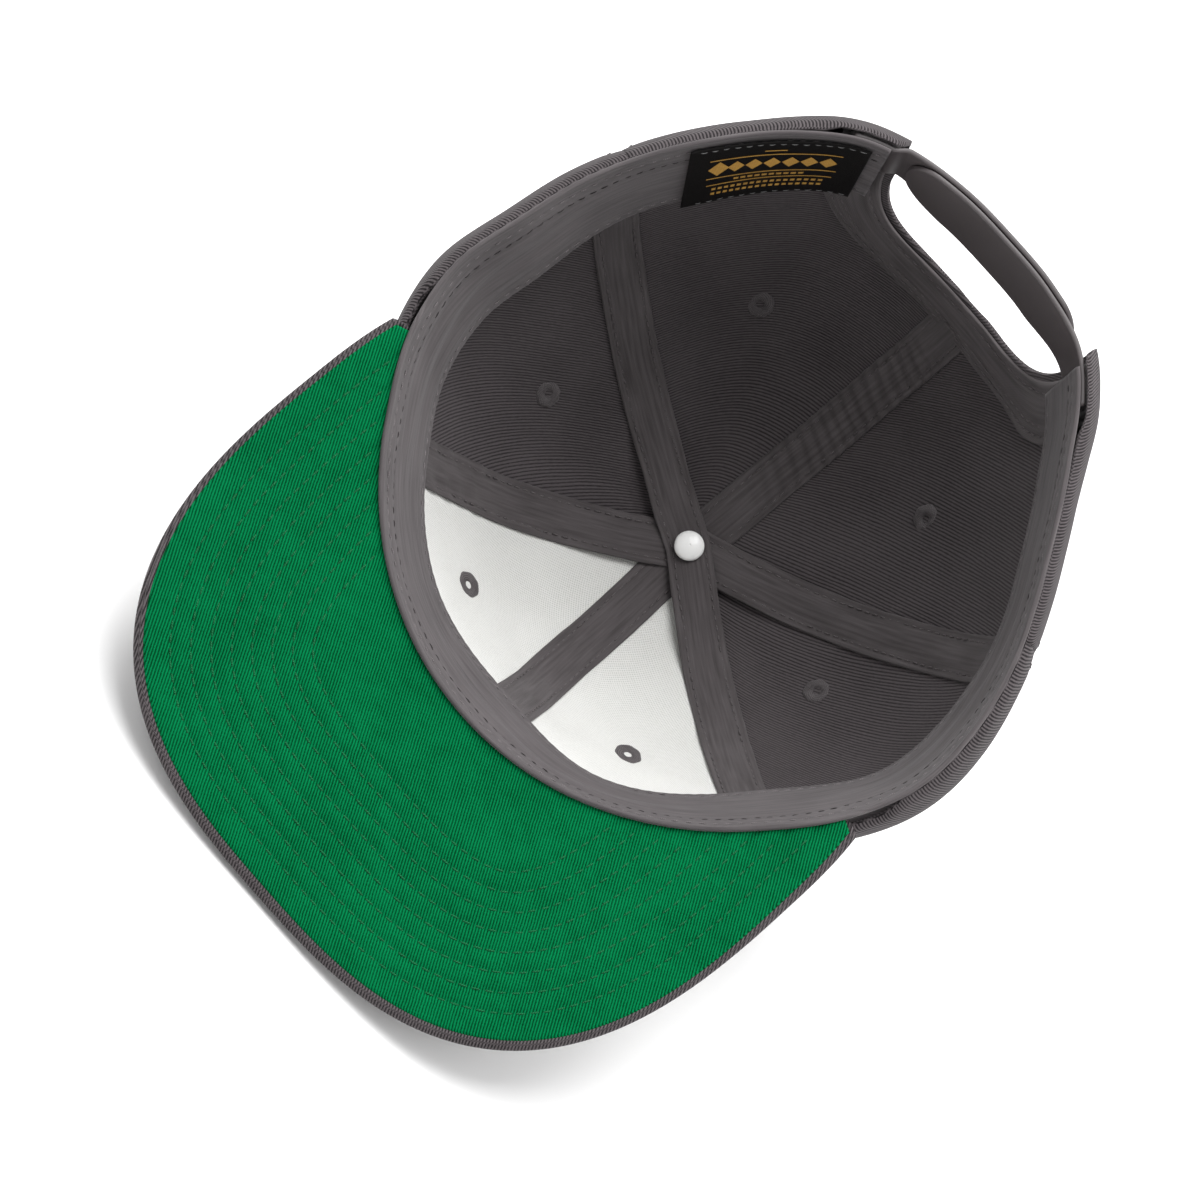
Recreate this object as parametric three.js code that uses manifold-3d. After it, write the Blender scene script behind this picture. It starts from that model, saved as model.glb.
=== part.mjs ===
// A six-panel snapback cap lying upside down, as it comes to rest on the front of its crown and the
// tip of its visor. Millimetres. Each piece is drawn in the cap's own frame: +X to the wearer's
// right, +Y to the visor, +Z to the top of the crown, with the centre of the rim at zero. The last
// section turns the whole cap over onto the floor.
import * as THREE from 'three';
import Module from 'manifold-3d';

const wasm = await Module();
wasm.setup();

const degree = Math.PI / 180;

// Driving dimensions

// Rim, measured to the outside of the sweatband's lower edge
const rimHalfWidth = 88.5;
const rimFrontReach = 93.2;
const rimBackReach = 97;
// Crown
const crownHeight = 112.5;
const clothWall = 1.6;
const hemWall = 2.6;
const seamDip = 0.8;
const seamDipWidth = 3.2;
const seamGap = 0.3;
const seatGap = 0.3;
const restDent = 1.6;
const restStep = 0.05;
// Opening in the back of the crown
const archHalfWidth = 36;
const archHeight = 47;
const archSquareness = 4.2;
const archAzimuth = 158 * degree;
const tabSwell = 1.6;
const tabTurn = 24 * degree;
const bindingWidth = 11;
const bindingWall = 1;
const bindingInset = 1;
const bindingGap = 1.2;
const bindingFoot = 7;
const bindingSteps = 20;
// Sweatband and label
const bandHeight = 32;
const bandWall = 1.8;
const bandDrop = 0.6;
const bandEndInset = 1;
const labelWidth = 49;
const labelHeight = 33;
const labelWall = 1;
const labelGap = 0.8;
const labelFoot = 1;
const labelCentre = 220.5 * degree;
// Seam tapes
const tapeWidth = 13;
const tapeWall = 1;
const tapeGap = 0.45;
const tapeTuck = 8;
const tapeFootEase = 0.3;
const tapeLiftStart = 41;
const tapeLiftEnd = 23;
const tapeStep = 0.15;
// Button, rivet and eyelets
const buttonRadius = 7.5;
const buttonHeight = 5;
const buttonRim = 1.2;
const buttonRound = 0.8;
const rivetRadius = 4.3;
const rivetHeight = 2.4;
const rivetEdge = 0.7;
const rivetGap = 0.5;
const postRadius = 1.5;
const crownHoleRadius = 3;
const roundSides = 20;
const domeSteps = 4;
const eyeletRadius = 4;
const eyeletFlange = 0.8;
const eyeletRound = 0.5;
const eyeletBarrel = 1.9;
const eyeletHole = 0.8;
const eyeletSides = 10;
// Visor
const visorHalfWidth = 89.3;
const visorCentre = 64;
const visorFrontReach = 97;
const visorBackReach = 75;
const visorSquareness = 2.8;
const visorSlope = 8.5 * degree;
const visorThickness = 3.8;
const visorEnd = 66 * degree;
const underClothWall = 1.2;
const visorLip = 1.9;
const visorRound = 0.7;
const visorSteps = 36;
// Plastic straps
const strapWidth = 19;
const strapWall = 1.4;
const strapLift = 1.2;
const strapLean = 9 * degree;
const strapRootLean = 2 * degree;
const strapRoot = 29 * degree;
const strapOuterEnd = 17.4 * degree;
const strapInnerEnd = 19 * degree;
const strapEndRadius = 8;
const strapStep = 3 * degree;
const strapSteps = 14;
const pegCount = 7;
const pegSpacing = 7.5;
const pegRadius = 1.6;
const pegReach = 1.1;
const pegRound = 0.4;
const pegSides = 8;

// Tables

// The rim's radius as a share of an ellipse, by azimuth from the front, on the wearer's left and right
const rimRows = [
  { azimuth: 0, left: 1, right: 1 },
  { azimuth: 50, left: 1, right: 1 },
  { azimuth: 66, left: 1.02, right: 1.022 },
  { azimuth: 79, left: 1.018, right: 1.03 },
  { azimuth: 92, left: 0.982, right: 1 },
  { azimuth: 104, left: 0.975, right: 0.962 },
  { azimuth: 116, left: 0.971, right: 0.926 },
  { azimuth: 128, left: 0.974, right: 0.91 },
  { azimuth: 142, left: 0.993, right: 0.928 },
  { azimuth: 152, left: 1.008, right: 0.968 },
  { azimuth: 160, left: 1, right: 0.994 },
  { azimuth: 170, left: 0.985, right: 0.985 },
  { azimuth: 180, left: 0.975, right: 0.975 },
];
// The seams from the middle of the front round to the wearer's right, by azimuth
const seamRows = [
  { name: 'front', azimuth: 2.5 },
  { name: 'right_front', azimuth: 55 },
  { name: 'right_back', azimuth: 109 },
  { name: 'back', azimuth: 177 },
  { name: 'left_back', azimuth: 246.5 },
  { name: 'left_front', azimuth: 308.5 },
];
// The crown's outside from rim to top: height as a share of its height, radius as a share of the hem's
const crownRows = [
  { height: 0, front: 0.985, side: 0.985, back: 0.985 },
  { height: 0.02, front: 1, side: 1, back: 1 },
  { height: 0.07, front: 0.975, side: 1.022, back: 1.03 },
  { height: 0.15, front: 0.93, side: 1.03, back: 1.035 },
  { height: 0.27, front: 0.875, side: 1.012, back: 1.01 },
  { height: 0.42, front: 0.812, side: 0.955, back: 0.94 },
  { height: 0.57, front: 0.745, side: 0.85, back: 0.855 },
  { height: 0.7, front: 0.672, side: 0.715, back: 0.745 },
  { height: 0.82, front: 0.565, side: 0.57, back: 0.61 },
  { height: 0.915, front: 0.405, side: 0.41, back: 0.435 },
  { height: 0.975, front: 0.23, side: 0.235, back: 0.245 },
  { height: 0.994, front: 0.11, side: 0.112, back: 0.115 },
  { height: 1, front: 0, side: 0, back: 0 },
];
// How far the sweatband leans in, as a share of its height, on the wearer's left and right
const bandRows = [
  { azimuth: 0, left: 0.485, right: 0.485 },
  { azimuth: 24, left: 0.4, right: 0.34 },
  { azimuth: 48, left: 0.36, right: 0.37 },
  { azimuth: 62, left: 0.34, right: 0.37 },
  { azimuth: 78, left: 0.335, right: 0.25 },
  { azimuth: 98, left: 0.28, right: 0.14 },
  { azimuth: 114, left: 0.2, right: 0.05 },
  { azimuth: 130, left: 0.18, right: 0.04 },
  { azimuth: 155, left: 0.1, right: 0.04 },
  { azimuth: 180, left: 0.1, right: 0.04 },
];
// The panels from the middle of the front round to the wearer's right, each with its eyelet's
// azimuth and its height as a share of the crown's
const panelTable = [
  { place: 'front', side: 'right', cloth: 'white', lines: 'wide', azimuth: 30, height: 0.66 },
  { place: 'side', side: 'right', cloth: 'charcoal', lines: 'wide', azimuth: 86, height: 0.8 },
  { place: 'back', side: 'right', cloth: 'charcoal', lines: 'fine', azimuth: 142, height: 0.715 },
  { place: 'back', side: 'left', cloth: 'charcoal', lines: 'fine', azimuth: 213, height: 0.735 },
  { place: 'side', side: 'left', cloth: 'charcoal', lines: 'wide', azimuth: 275, height: 0.77 },
  { place: 'front', side: 'left', cloth: 'white', lines: 'wide', azimuth: 333, height: 0.66 },
];
// Grid lines of a panel, as shares of the turn from seam to seam and as crownRows index
const panelColumns = {
  wide: [0, 0.04, 0.12, 0.28, 0.44, 0.58, 0.72, 0.88, 0.96, 1],
  fine: [0, 0.035, 0.1, 0.2, 0.3, 0.42, 0.54, 0.66, 0.77, 0.88, 0.965, 1],
};
const panelRows = [0, 1, 2, 3, 4, 5, 6, 6.6, 7.2, 7.8, 8.5, 9.2, 10, 11];

// Materials
const charcoalTwill = { color: 0x504b4d, roughness: 0.95, metalness: 0 };
const charcoalLining = { color: 0x45403f, roughness: 0.9, metalness: 0 };
const whiteCloth = { color: 0xdededa, roughness: 0.95, metalness: 0 };
const greenTwill = { color: 0x04703f, roughness: 0.95, metalness: 0 };
const blackSatin = { color: 0x0b0a0a, roughness: 0.6, metalness: 0 };
const whiteEnamel = { color: 0xf7f7f5, roughness: 0.35, metalness: 0 };
const charcoalPlastic = { color: 0x4a4546, roughness: 0.5, metalness: 0 };

// Small functions

const mix = (a, b, share) => a + (b - a) * share;

function smoothStep(low, high, value) {
  return THREE.MathUtils.smoothstep(value, low, high);
}

// A value that runs smoothly through the rows of a table and is level at its first and last row
function smoothTable(rows, inKey, outKey, wanted) {
  const last = rows.length - 1;
  const at = THREE.MathUtils.clamp(wanted, rows[0][inKey], rows[last][inKey]);
  let i = 0;
  while (i < last - 1 && at > rows[i + 1][inKey]) i += 1;
  const slope = (k) => {
    if (k === 0 || k === last) return 0;
    return (rows[k + 1][outKey] - rows[k - 1][outKey]) / (rows[k + 1][inKey] - rows[k - 1][inKey]);
  };
  const span = rows[i + 1][inKey] - rows[i][inKey];
  const s = (at - rows[i][inKey]) / span;
  const share = 3 * s ** 2 - 2 * s ** 3;
  const bend = slope(i) * (s ** 3 - 2 * s ** 2 + s) + slope(i + 1) * (s ** 3 - s ** 2);
  return mix(rows[i][outKey], rows[i + 1][outKey], share) + bend * span;
}

// The share at which a rising function reaches a target, by halving
function solve(rising, target, low, high) {
  let from = low;
  let to = high;
  for (let i = 0; i < 40; i += 1) {
    const middle = (from + to) / 2;
    if (rising(middle) < target) from = middle;
    else to = middle;
  }
  return (from + to) / 2;
}

// A point at a radius and azimuth from the front, positive to the wearer's right
function polar(radius, azimuth, z) {
  return new THREE.Vector3(radius * Math.sin(azimuth), radius * Math.cos(azimuth), z);
}

// Shape of the rim and the crown

function turnFromFront(azimuth) {
  return Math.abs(Math.atan2(Math.sin(azimuth), Math.cos(azimuth)));
}

function sideOf(azimuth) {
  return Math.sin(azimuth) < 0 ? 'left' : 'right';
}

function rimRadius(azimuth) {
  const reach = Math.cos(azimuth) > 0 ? rimFrontReach : rimBackReach;
  const ellipse = 1 / Math.hypot(Math.sin(azimuth) / rimHalfWidth, Math.cos(azimuth) / reach);
  return ellipse * smoothTable(rimRows, 'azimuth', sideOf(azimuth), turnFromFront(azimuth) / degree);
}

const lastRow = crownRows.length - 1;

// One crown row, carried on past the bottom in line and past the top as its mirror image
function crownRow(index) {
  if (index < 0) {
    const [first, second] = crownRows;
    const back = (key) => 2 * first[key] - second[key];
    return { height: back('height'), front: back('front'), side: back('side'), back: back('back') };
  }
  if (index > lastRow) {
    const row = crownRows[2 * lastRow - index];
    return { height: row.height, front: -row.front, side: -row.side, back: -row.back };
  }
  return crownRows[index];
}

function crownShare(key, t) {
  const i = Math.min(Math.floor(t), lastRow - 1);
  const s = t - i;
  const [a, b, c, d] = [i - 1, i, i + 1, i + 2].map((k) => crownRow(k)[key]);
  return b + 0.5 * s * (c - a + s * (2 * a - 5 * b + 4 * c - d + s * (3 * (b - c) + d - a)));
}

// The opening's edge at the rim, as an azimuth from the front
const archEdge = Math.PI - Math.asin(archHalfWidth / rimRadius(archAzimuth));

// 1 where the straps are sewn in beside the opening, 0 away from it
function tabShare(azimuth) {
  return smoothStep(archEdge - tabTurn, archEdge - tabTurn / 3, turnFromFront(azimuth));
}

// Radius and height of the crown's outside, without its seams
function crownOutside(azimuth, t) {
  const level = Math.cos(azimuth) ** 2;
  const end = crownShare(Math.cos(azimuth) > 0 ? 'front' : 'back', t);
  const share = mix(crownShare('side', t), end, level);
  const z = crownShare('height', t) * crownHeight;
  const swell = tabSwell * tabShare(azimuth) * (1 - smoothStep(0.5, 1, z / bandHeight));
  return { radius: (rimRadius(azimuth) + seatGap + hemWall) * share + swell, z };
}

// A point at a depth below the crown's outside, within the upright plane of its azimuth
function crownPoint(azimuth, t, depth) {
  const step = 0.02;
  const here = crownOutside(azimuth, t);
  const above = crownOutside(azimuth, Math.min(t + step, lastRow));
  const below = crownOutside(azimuth, Math.min(t + step, lastRow) - 2 * step);
  const up = above.z - below.z;
  const out = above.radius - below.radius;
  const size = Math.hypot(up, out);
  const isTop = t >= lastRow;
  const tilt = isTop ? 1 : smoothStep(1, 3, t);
  const across = isTop ? 0 : mix(1, up / size, tilt);
  const upward = isTop ? 1 : tilt * (-out / size);
  return polar(here.radius - depth * across, azimuth, here.z - depth * upward);
}

// Depth of the panel's inside: the folded hem is thicker, and one layer thins where a strap goes in
function insideDepth(azimuth, t) {
  const hem = mix(hemWall, clothWall, tabShare(azimuth));
  if (t <= 1) return crownOutside(azimuth, t).radius - crownOutside(azimuth, 1).radius + hem;
  return mix(hem, clothWall, smoothStep(1, 3, t));
}

function crownTurnAtHeight(azimuth, z) {
  return solve((t) => crownOutside(azimuth, t).z, z, 0, lastRow);
}

function turnAtRadius(azimuth, radius) {
  return solve((t) => -crownOutside(azimuth, t).radius, -radius, lastRow - 3, lastRow);
}

// The visor's middle surface slopes down to the front and curves down to the sides, so that it
// meets the rim all the way from its middle to its ends
const visorEndPoint = polar(rimRadius(visorEnd), visorEnd, 0);
const visorCurve = visorEndPoint.x ** 2 / (2 * Math.tan(visorSlope) * (rimFrontReach - visorEndPoint.y));

function visorLevel(x, y) {
  return -Math.tan(visorSlope) * (y - rimFrontReach) - x ** 2 / (2 * visorCurve);
}

function visorReach(azimuth) {
  const outside = (radius) => {
    const p = polar(radius, azimuth, 0);
    const reach = p.y > visorCentre ? visorFrontReach : visorBackReach;
    const across = Math.abs(p.x / visorHalfWidth) ** visorSquareness;
    return across + Math.abs((p.y - visorCentre) / reach) ** visorSquareness;
  };
  return solve(outside, 1, rimRadius(azimuth), 2 * (visorCentre + visorFrontReach));
}

// Height of the hem's lower edge: on the visor in front, at the rim elsewhere
function hemBottom(azimuth) {
  const turn = turnFromFront(azimuth);
  const p = polar(rimRadius(azimuth), azimuth, 0);
  const onVisor = visorLevel(p.x, p.y) + visorThickness / 2 + seatGap;
  return onVisor * (1 - smoothStep(visorEnd + 4.5 * degree, visorEnd + 10 * degree, turn));
}

// Rest: the cap lies on the dented front of its crown and the tip of its visor

const visorTip = new THREE.Vector3(0, visorReach(0), visorLevel(0, visorReach(0)) + visorThickness / 2);
const reachDown = (p, tilt) => p.y * Math.sin(tilt) + p.z * Math.cos(tilt);

function crownReachDown(tilt) {
  let most = 0;
  for (let t = 4; t <= 10; t += restStep) {
    most = Math.max(most, reachDown(crownPoint(0, t, 0), tilt));
  }
  return most;
}

const tiltFit = (tilt) => reachDown(visorTip, tilt) - crownReachDown(tilt);
const restTilt = solve(tiltFit, -restDent, 20 * degree, 69 * degree);
const floorReach = reachDown(visorTip, restTilt);
const downward = new THREE.Vector3(0, Math.sin(restTilt), Math.cos(restTilt));

// The cloth is pressed flat where it would go through the floor
function settle(point, depth) {
  const below = reachDown(point, restTilt) - (floorReach - depth);
  return below > 0 ? point.clone().addScaledVector(downward, -below) : point;
}

// Solids

// One closed body from points and triangles, turned so that its faces point out
function closedBody(points, triangles) {
  let volume = 0;
  for (const [a, b, c] of triangles) {
    volume += points[a].dot(new THREE.Vector3().crossVectors(points[b], points[c]));
  }
  const index = triangles.flatMap(([a, b, c]) => (volume > 0 ? [a, b, c] : [a, c, b]));
  const geometry = new THREE.BufferGeometry();
  const numbers = points.flatMap((p) => [p.x, p.y, p.z]);
  geometry.setAttribute('position', new THREE.Float32BufferAttribute(numbers, 3));
  geometry.setIndex(index);
  geometry.computeVertexNormals();
  return geometry;
}

// A sheet with thickness, from two grids of points of one size
function slab(outer, inner) {
  const rows = outer.length;
  const columns = outer[0].length;
  const points = [...outer.flat(), ...inner.flat()];
  const at = (i, j) => i * columns + j;
  const under = rows * columns;
  const triangles = [];
  const quad = (a, b, c, d) => triangles.push([a, b, c], [a, c, d]);
  for (let i = 0; i < rows - 1; i += 1) {
    for (let j = 0; j < columns - 1; j += 1) {
      quad(at(i, j), at(i, j + 1), at(i + 1, j + 1), at(i + 1, j));
      quad(under + at(i, j), under + at(i + 1, j), under + at(i + 1, j + 1), under + at(i, j + 1));
    }
  }
  const wall = (a, b) => quad(a, a + under, b + under, b);
  for (let j = 0; j < columns - 1; j += 1) {
    wall(at(0, j), at(0, j + 1));
    wall(at(rows - 1, j + 1), at(rows - 1, j));
  }
  for (let i = 0; i < rows - 1; i += 1) {
    wall(at(i + 1, 0), at(i, 0));
    wall(at(i, columns - 1), at(i + 1, columns - 1));
  }
  return closedBody(points, triangles);
}

// A bar through sections of one size; flatSection is the section's outline in its own plane
function loft(sections, flatSection) {
  const size = sections[0].length;
  const last = (sections.length - 1) * size;
  const triangles = [];
  for (let i = 0; i < sections.length - 1; i += 1) {
    for (let j = 0; j < size; j += 1) {
      const a = i * size + j;
      const b = i * size + ((j + 1) % size);
      triangles.push([a, b, b + size], [a, b + size, a + size]);
    }
  }
  const turnsLeft = THREE.ShapeUtils.area(flatSection) > 0;
  for (const [a, b, c] of THREE.ShapeUtils.triangulateShape(flatSection, [])) {
    const [near, far] = turnsLeft ? [c, b] : [b, c];
    triangles.push([a, near, far], [last + a, last + far, last + near]);
  }
  return closedBody(sections.flat(), triangles);
}

function toManifold(geometry) {
  const mesh = new wasm.Mesh({
    numProp: 3,
    vertProperties: new Float32Array(geometry.attributes.position.array),
    triVerts: new Uint32Array(geometry.index.array),
  });
  mesh.merge();
  return new wasm.Manifold(mesh);
}

function toGeometry(manifold) {
  const mesh = manifold.getMesh();
  const geometry = new THREE.BufferGeometry();
  const points = new Float32Array(mesh.vertProperties);
  geometry.setAttribute('position', new THREE.BufferAttribute(points, 3));
  geometry.setIndex(new THREE.BufferAttribute(new Uint32Array(mesh.triVerts), 1));
  geometry.computeVertexNormals();
  return geometry;
}

// A turned body along +Z from a closed outline of [radius, z] corners
function turned(corners, sides) {
  const count = corners.length;
  const points = [];
  for (let i = 0; i < sides; i += 1) {
    const turn = (i / sides) * 2 * Math.PI;
    for (const [radius, z] of corners) points.push(polar(radius, turn, z));
  }
  const triangles = [];
  for (let i = 0; i < sides; i += 1) {
    const here = i * count;
    const next = ((i + 1) % sides) * count;
    for (let j = 0; j < count; j += 1) {
      const k = (j + 1) % count;
      triangles.push([here + j, next + j, next + k], [here + j, next + k, here + k]);
    }
  }
  return closedBody(points, triangles);
}

function named(name, geometry, finish) {
  const mesh = new THREE.Mesh(geometry, new THREE.MeshStandardMaterial(finish));
  mesh.name = name;
  return mesh;
}

// Placing a turned body with its +Z axis along a direction
function placed(geometry, origin, direction) {
  const turn = new THREE.Quaternion().setFromUnitVectors(new THREE.Vector3(0, 0, 1), direction);
  return geometry.applyQuaternion(turn).translate(origin.x, origin.y, origin.z);
}

const cap = new THREE.Group();

// Eyelets: a stitched ring through the cloth, flanged on both sides

function eyeletFrame(row) {
  const azimuth = row.azimuth * degree;
  const t = crownTurnAtHeight(azimuth, row.height * crownHeight);
  const origin = crownPoint(azimuth, t, clothWall / 2);
  const direction = crownPoint(azimuth, t, 0).sub(crownPoint(azimuth, t, clothWall)).normalize();
  return { origin, direction };
}

function eyeletBody() {
  const near = clothWall / 2 + seatGap;
  const far = near + eyeletFlange;
  return turned([
    [eyeletHole, -far],
    [eyeletRadius - eyeletRound, -far],
    [eyeletRadius, -near],
    [eyeletBarrel, -near],
    [eyeletBarrel, near],
    [eyeletRadius, near],
    [eyeletRadius - eyeletRound, far],
    [eyeletHole, far],
  ], eyeletSides);
}

function eyeletCutter() {
  const near = clothWall / 2;
  const far = near + 3 * eyeletFlange;
  const wide = eyeletRadius + seatGap;
  const narrow = eyeletBarrel + seatGap;
  const corners = [[0, -far], [wide, -far], [wide, -near], [narrow, -near]];
  const profile = [...corners, [narrow, near], [wide, near], [wide, far], [0, far]];
  const body = new THREE.LatheGeometry(profile.map(([x, y]) => new THREE.Vector2(x, y)), eyeletSides);
  return body.rotateX(Math.PI / 2);
}

for (const row of panelTable) {
  const { origin, direction } = eyeletFrame(row);
  cap.add(named(`eyelet_${row.place}_${row.side}`, placed(eyeletBody(), origin, direction), charcoalLining));
}

// Crown panels

// How far the outside dips beside the nearest seam
function seamDent(azimuth, radius) {
  const nearest = Math.min(...seamRows.map((seam) => turnFromFront(azimuth - seam.azimuth * degree)));
  return seamDip * Math.exp(-((radius * nearest) ** 2) / seamDipWidth ** 2);
}

function panelTurn(azimuth, row) {
  const start = crownTurnAtHeight(azimuth, Math.max(hemBottom(azimuth), 0));
  const end = panelRows[panelRows.length - 1];
  return start + row * (1 - start / end);
}

function panelBody(from, to, columns) {
  const outer = [];
  const inner = [];
  for (const share of columns) {
    const outerColumn = [];
    const innerColumn = [];
    for (const row of panelRows) {
      const middle = mix(from, to, share);
      const t = row === panelRows.at(-1) ? holeTurn(middle) : panelTurn(middle, row);
      const { radius } = crownOutside(middle, t);
      const gap = seamGap / 2 / radius;
      const inset = share === 0 ? gap : -gap;
      const azimuth = share === 0 || share === 1 ? middle + inset : middle;
      const dent = seamDent(azimuth, radius);
      outerColumn.push(settle(crownPoint(azimuth, t, dent), 0));
      innerColumn.push(settle(crownPoint(azimuth, t, insideDepth(azimuth, t)), clothWall));
    }
    outer.push(outerColumn);
    inner.push(innerColumn);
  }
  return toManifold(slab(outer, inner));
}

// Where the panels stop around the button's post
function holeTurn(azimuth) {
  return turnAtRadius(azimuth, crownHoleRadius);
}

// The opening's edge in the upright plane across the cap: a turn of 0 to pi runs from right to left
function archPoint(turn, away) {
  const corner = (value) => Math.sign(value) * Math.abs(value) ** (2 / archSquareness);
  const share = new THREE.Vector2(corner(Math.cos(turn)), corner(Math.sin(turn)));
  const p = new THREE.Vector2(archHalfWidth * share.x, archHeight * share.y);
  const slope = (value) => Math.sign(value) * Math.abs(value) ** (archSquareness - 1);
  const out = new THREE.Vector2(slope(share.x) / archHalfWidth, slope(share.y) / archHeight);
  return p.addScaledVector(out.normalize(), away);
}

const archCutter = (() => {
  const edge = [...Array(bindingSteps + 1).keys()].map((i) => archPoint((i / bindingSteps) * Math.PI, 0));
  const below = -10;
  const feet = [-archHalfWidth, archHalfWidth].map((x) => new THREE.Vector2(x, below));
  const shape = new THREE.Shape([...feet, ...edge]);
  const depth = 2 * rimBackReach;
  const body = new THREE.ExtrudeGeometry(shape, { depth, bevelEnabled: false });
  return toManifold(weldable(body.rotateX(Math.PI / 2)));
})();

// Shared corners joined, with position alone left
function weldable(geometry) {
  const source = geometry.attributes.position;
  const order = geometry.index ? Array.from(geometry.index.array) : [...Array(source.count).keys()];
  const seen = new Map();
  const points = [];
  const index = order.map((i) => {
    const p = new THREE.Vector3().fromBufferAttribute(source, i);
    const key = [p.x, p.y, p.z].map((value) => Math.round(value * 1e4)).join(' ');
    if (!seen.has(key)) {
      seen.set(key, points.length);
      points.push(p);
    }
    return seen.get(key);
  });
  const triangles = [];
  for (let i = 0; i < index.length; i += 3) {
    const [a, b, c] = index.slice(i, i + 3);
    if (a !== b && b !== c && a !== c) triangles.push([a, b, c]);
  }
  return closedBody(points, triangles);
}

const panels = panelTable.map((row, i) => {
  const from = seamRows[i].azimuth * degree;
  const isLast = i === seamRows.length - 1;
  const to = isLast ? seamRows[0].azimuth * degree + 2 * Math.PI : seamRows[i + 1].azimuth * degree;
  return { ...row, from, to, columns: panelColumns[row.lines] };
});

for (const panel of panels) {
  const { origin, direction } = eyeletFrame(panel);
  const cutter = toManifold(weldable(placed(eyeletCutter(), origin, direction)));
  let body = panelBody(panel.from, panel.to, panel.columns).subtract(cutter);
  if (panel.lines === 'fine') body = body.subtract(archCutter);
  const cloth = panel.cloth === 'white' ? whiteCloth : charcoalTwill;
  cap.add(named(`${panel.place}_panel_${panel.side}`, toGeometry(body), cloth));
}

// Button on the outside and rivet on the inside, with the rivet's post through the crown

const tapeDepth = (layer) => clothWall + tapeGap + layer * (tapeWall + tapeGap);
const rivetTop = crownHeight - tapeDepth(3) - rivetGap;

// Corners of a dome's outline, from above its rim to its top
function domeRows(radius, height) {
  const rows = [];
  for (let i = 1; i < domeSteps; i += 1) {
    const turn = (i / domeSteps) * (Math.PI / 2);
    rows.push([radius * Math.cos(turn), height * Math.sin(turn)]);
  }
  return [...rows, [0, height]];
}

function latheBody(profile, sides) {
  const corners = profile.map(([x, y]) => new THREE.Vector2(x, y));
  return weldable(new THREE.LatheGeometry(corners, sides).rotateX(Math.PI / 2));
}

const buttonBase = crownHeight + seatGap;
const buttonProfile = [[0, 0], [buttonRadius - buttonRound, 0], [buttonRadius, buttonRim]]
  .concat(domeRows(buttonRadius, buttonHeight - buttonRim).map(([x, y]) => [x, y + buttonRim]))
  .map(([x, y]) => [x, buttonBase + y]);
cap.add(named('top_button', latheBody(buttonProfile, roundSides), charcoalTwill));

const rivetProfile = [[0, buttonBase - seatGap], [postRadius, buttonBase - seatGap], [postRadius, rivetTop]]
  .concat([[rivetRadius, rivetTop], [rivetRadius, rivetTop - rivetEdge]])
  .concat(domeRows(rivetRadius, rivetHeight - rivetEdge).map(([x, y]) => [x, rivetTop - rivetEdge - y]));
cap.add(named('button_rivet', latheBody(rivetProfile, roundSides), whiteEnamel));

// Seam tapes: three strips over the seams, crossing in layers under the rivet

function tapePoint(azimuth, t, across, depth) {
  const { radius } = crownOutside(azimuth, t);
  if (radius > 2 * Math.abs(across)) {
    return settle(crownPoint(azimuth + Math.asin(across / radius), t, depth), depth);
  }
  const heading = azimuth + Math.atan2(across, radius);
  return crownPoint(heading, turnAtRadius(heading, Math.hypot(radius, across)), depth);
}

// A tape runs from the foot of one seam over the top to the foot of another
function tapeBody(tape) {
  const lanes = [-0.5, 0, 0.5].map((share) => share * tapeWidth);
  const half = (heading, foot, sign) => {
    const start = crownTurnAtHeight(heading, foot);
    const rows = panelRows.slice(0, -1).map((row) => panelTurn(heading, row));
    const turns = [start, ...rows.filter((t) => t > start + tapeStep), holeTurn(heading)];
    return turns.map((t) => ({ heading, t, sign, ease: t === start ? tapeFootEase : 0 }));
  };
  const from = seam[tape.from];
  const to = seam[tape.to];
  const opposite = from < to ? to - Math.PI : to + Math.PI;
  const stations = [
    ...half(from, tapeFoot, 1),
    { heading: (from + opposite) / 2, t: lastRow, sign: 1, ease: 0 },
    ...half(to, tape.toFoot, -1).reverse(),
  ];
  const grid = (extra) => stations.map(({ heading, t, sign, ease }) => lanes.map((lane) => {
    const { radius } = crownOutside(heading, t);
    const lift = tape.layer * (tapeWall + tapeGap) * (1 - smoothStep(tapeLiftEnd, tapeLiftStart, radius));
    return tapePoint(heading, t, sign * lane, tapeDepth(0) + lift + ease + extra);
  }));
  const holeRadius = postRadius + seatGap;
  const low = crownHeight - 2 * tapeDepth(3);
  const outline = [[0, low], [holeRadius, low], [holeRadius, crownHeight], [0, crownHeight]];
  const hole = latheBody(outline, roundSides / 2);
  return toGeometry(toManifold(slab(grid(0), grid(tapeWall))).subtract(toManifold(hole)));
}

const tapeFoot = bandHeight - tapeTuck;
const tapeAtArch = archHeight + bindingInset + bindingWidth + 2;
const seam = Object.fromEntries(seamRows.map((row) => [row.name, row.azimuth * degree]));
const tapes = [
  { from: 'front', to: 'back', layer: 0, toFoot: tapeAtArch },
  { from: 'left_front', to: 'right_back', layer: 1, toFoot: tapeFoot },
  { from: 'right_front', to: 'left_back', layer: 2, toFoot: tapeFoot },
];
for (const tape of tapes) {
  const name = tape.toFoot === tapeAtArch ? 'seam_tape_front_back' : `seam_tape_${tape.from}`;
  cap.add(named(name, tapeBody(tape), charcoalLining));
}

// Sweatband: it starts and ends at the opening, and leans in towards its upper edge

function bandRadius(azimuth, z) {
  const lean = smoothTable(bandRows, 'azimuth', sideOf(azimuth), turnFromFront(azimuth) / degree);
  return rimRadius(azimuth) - lean * Math.max(z, 0);
}

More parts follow.
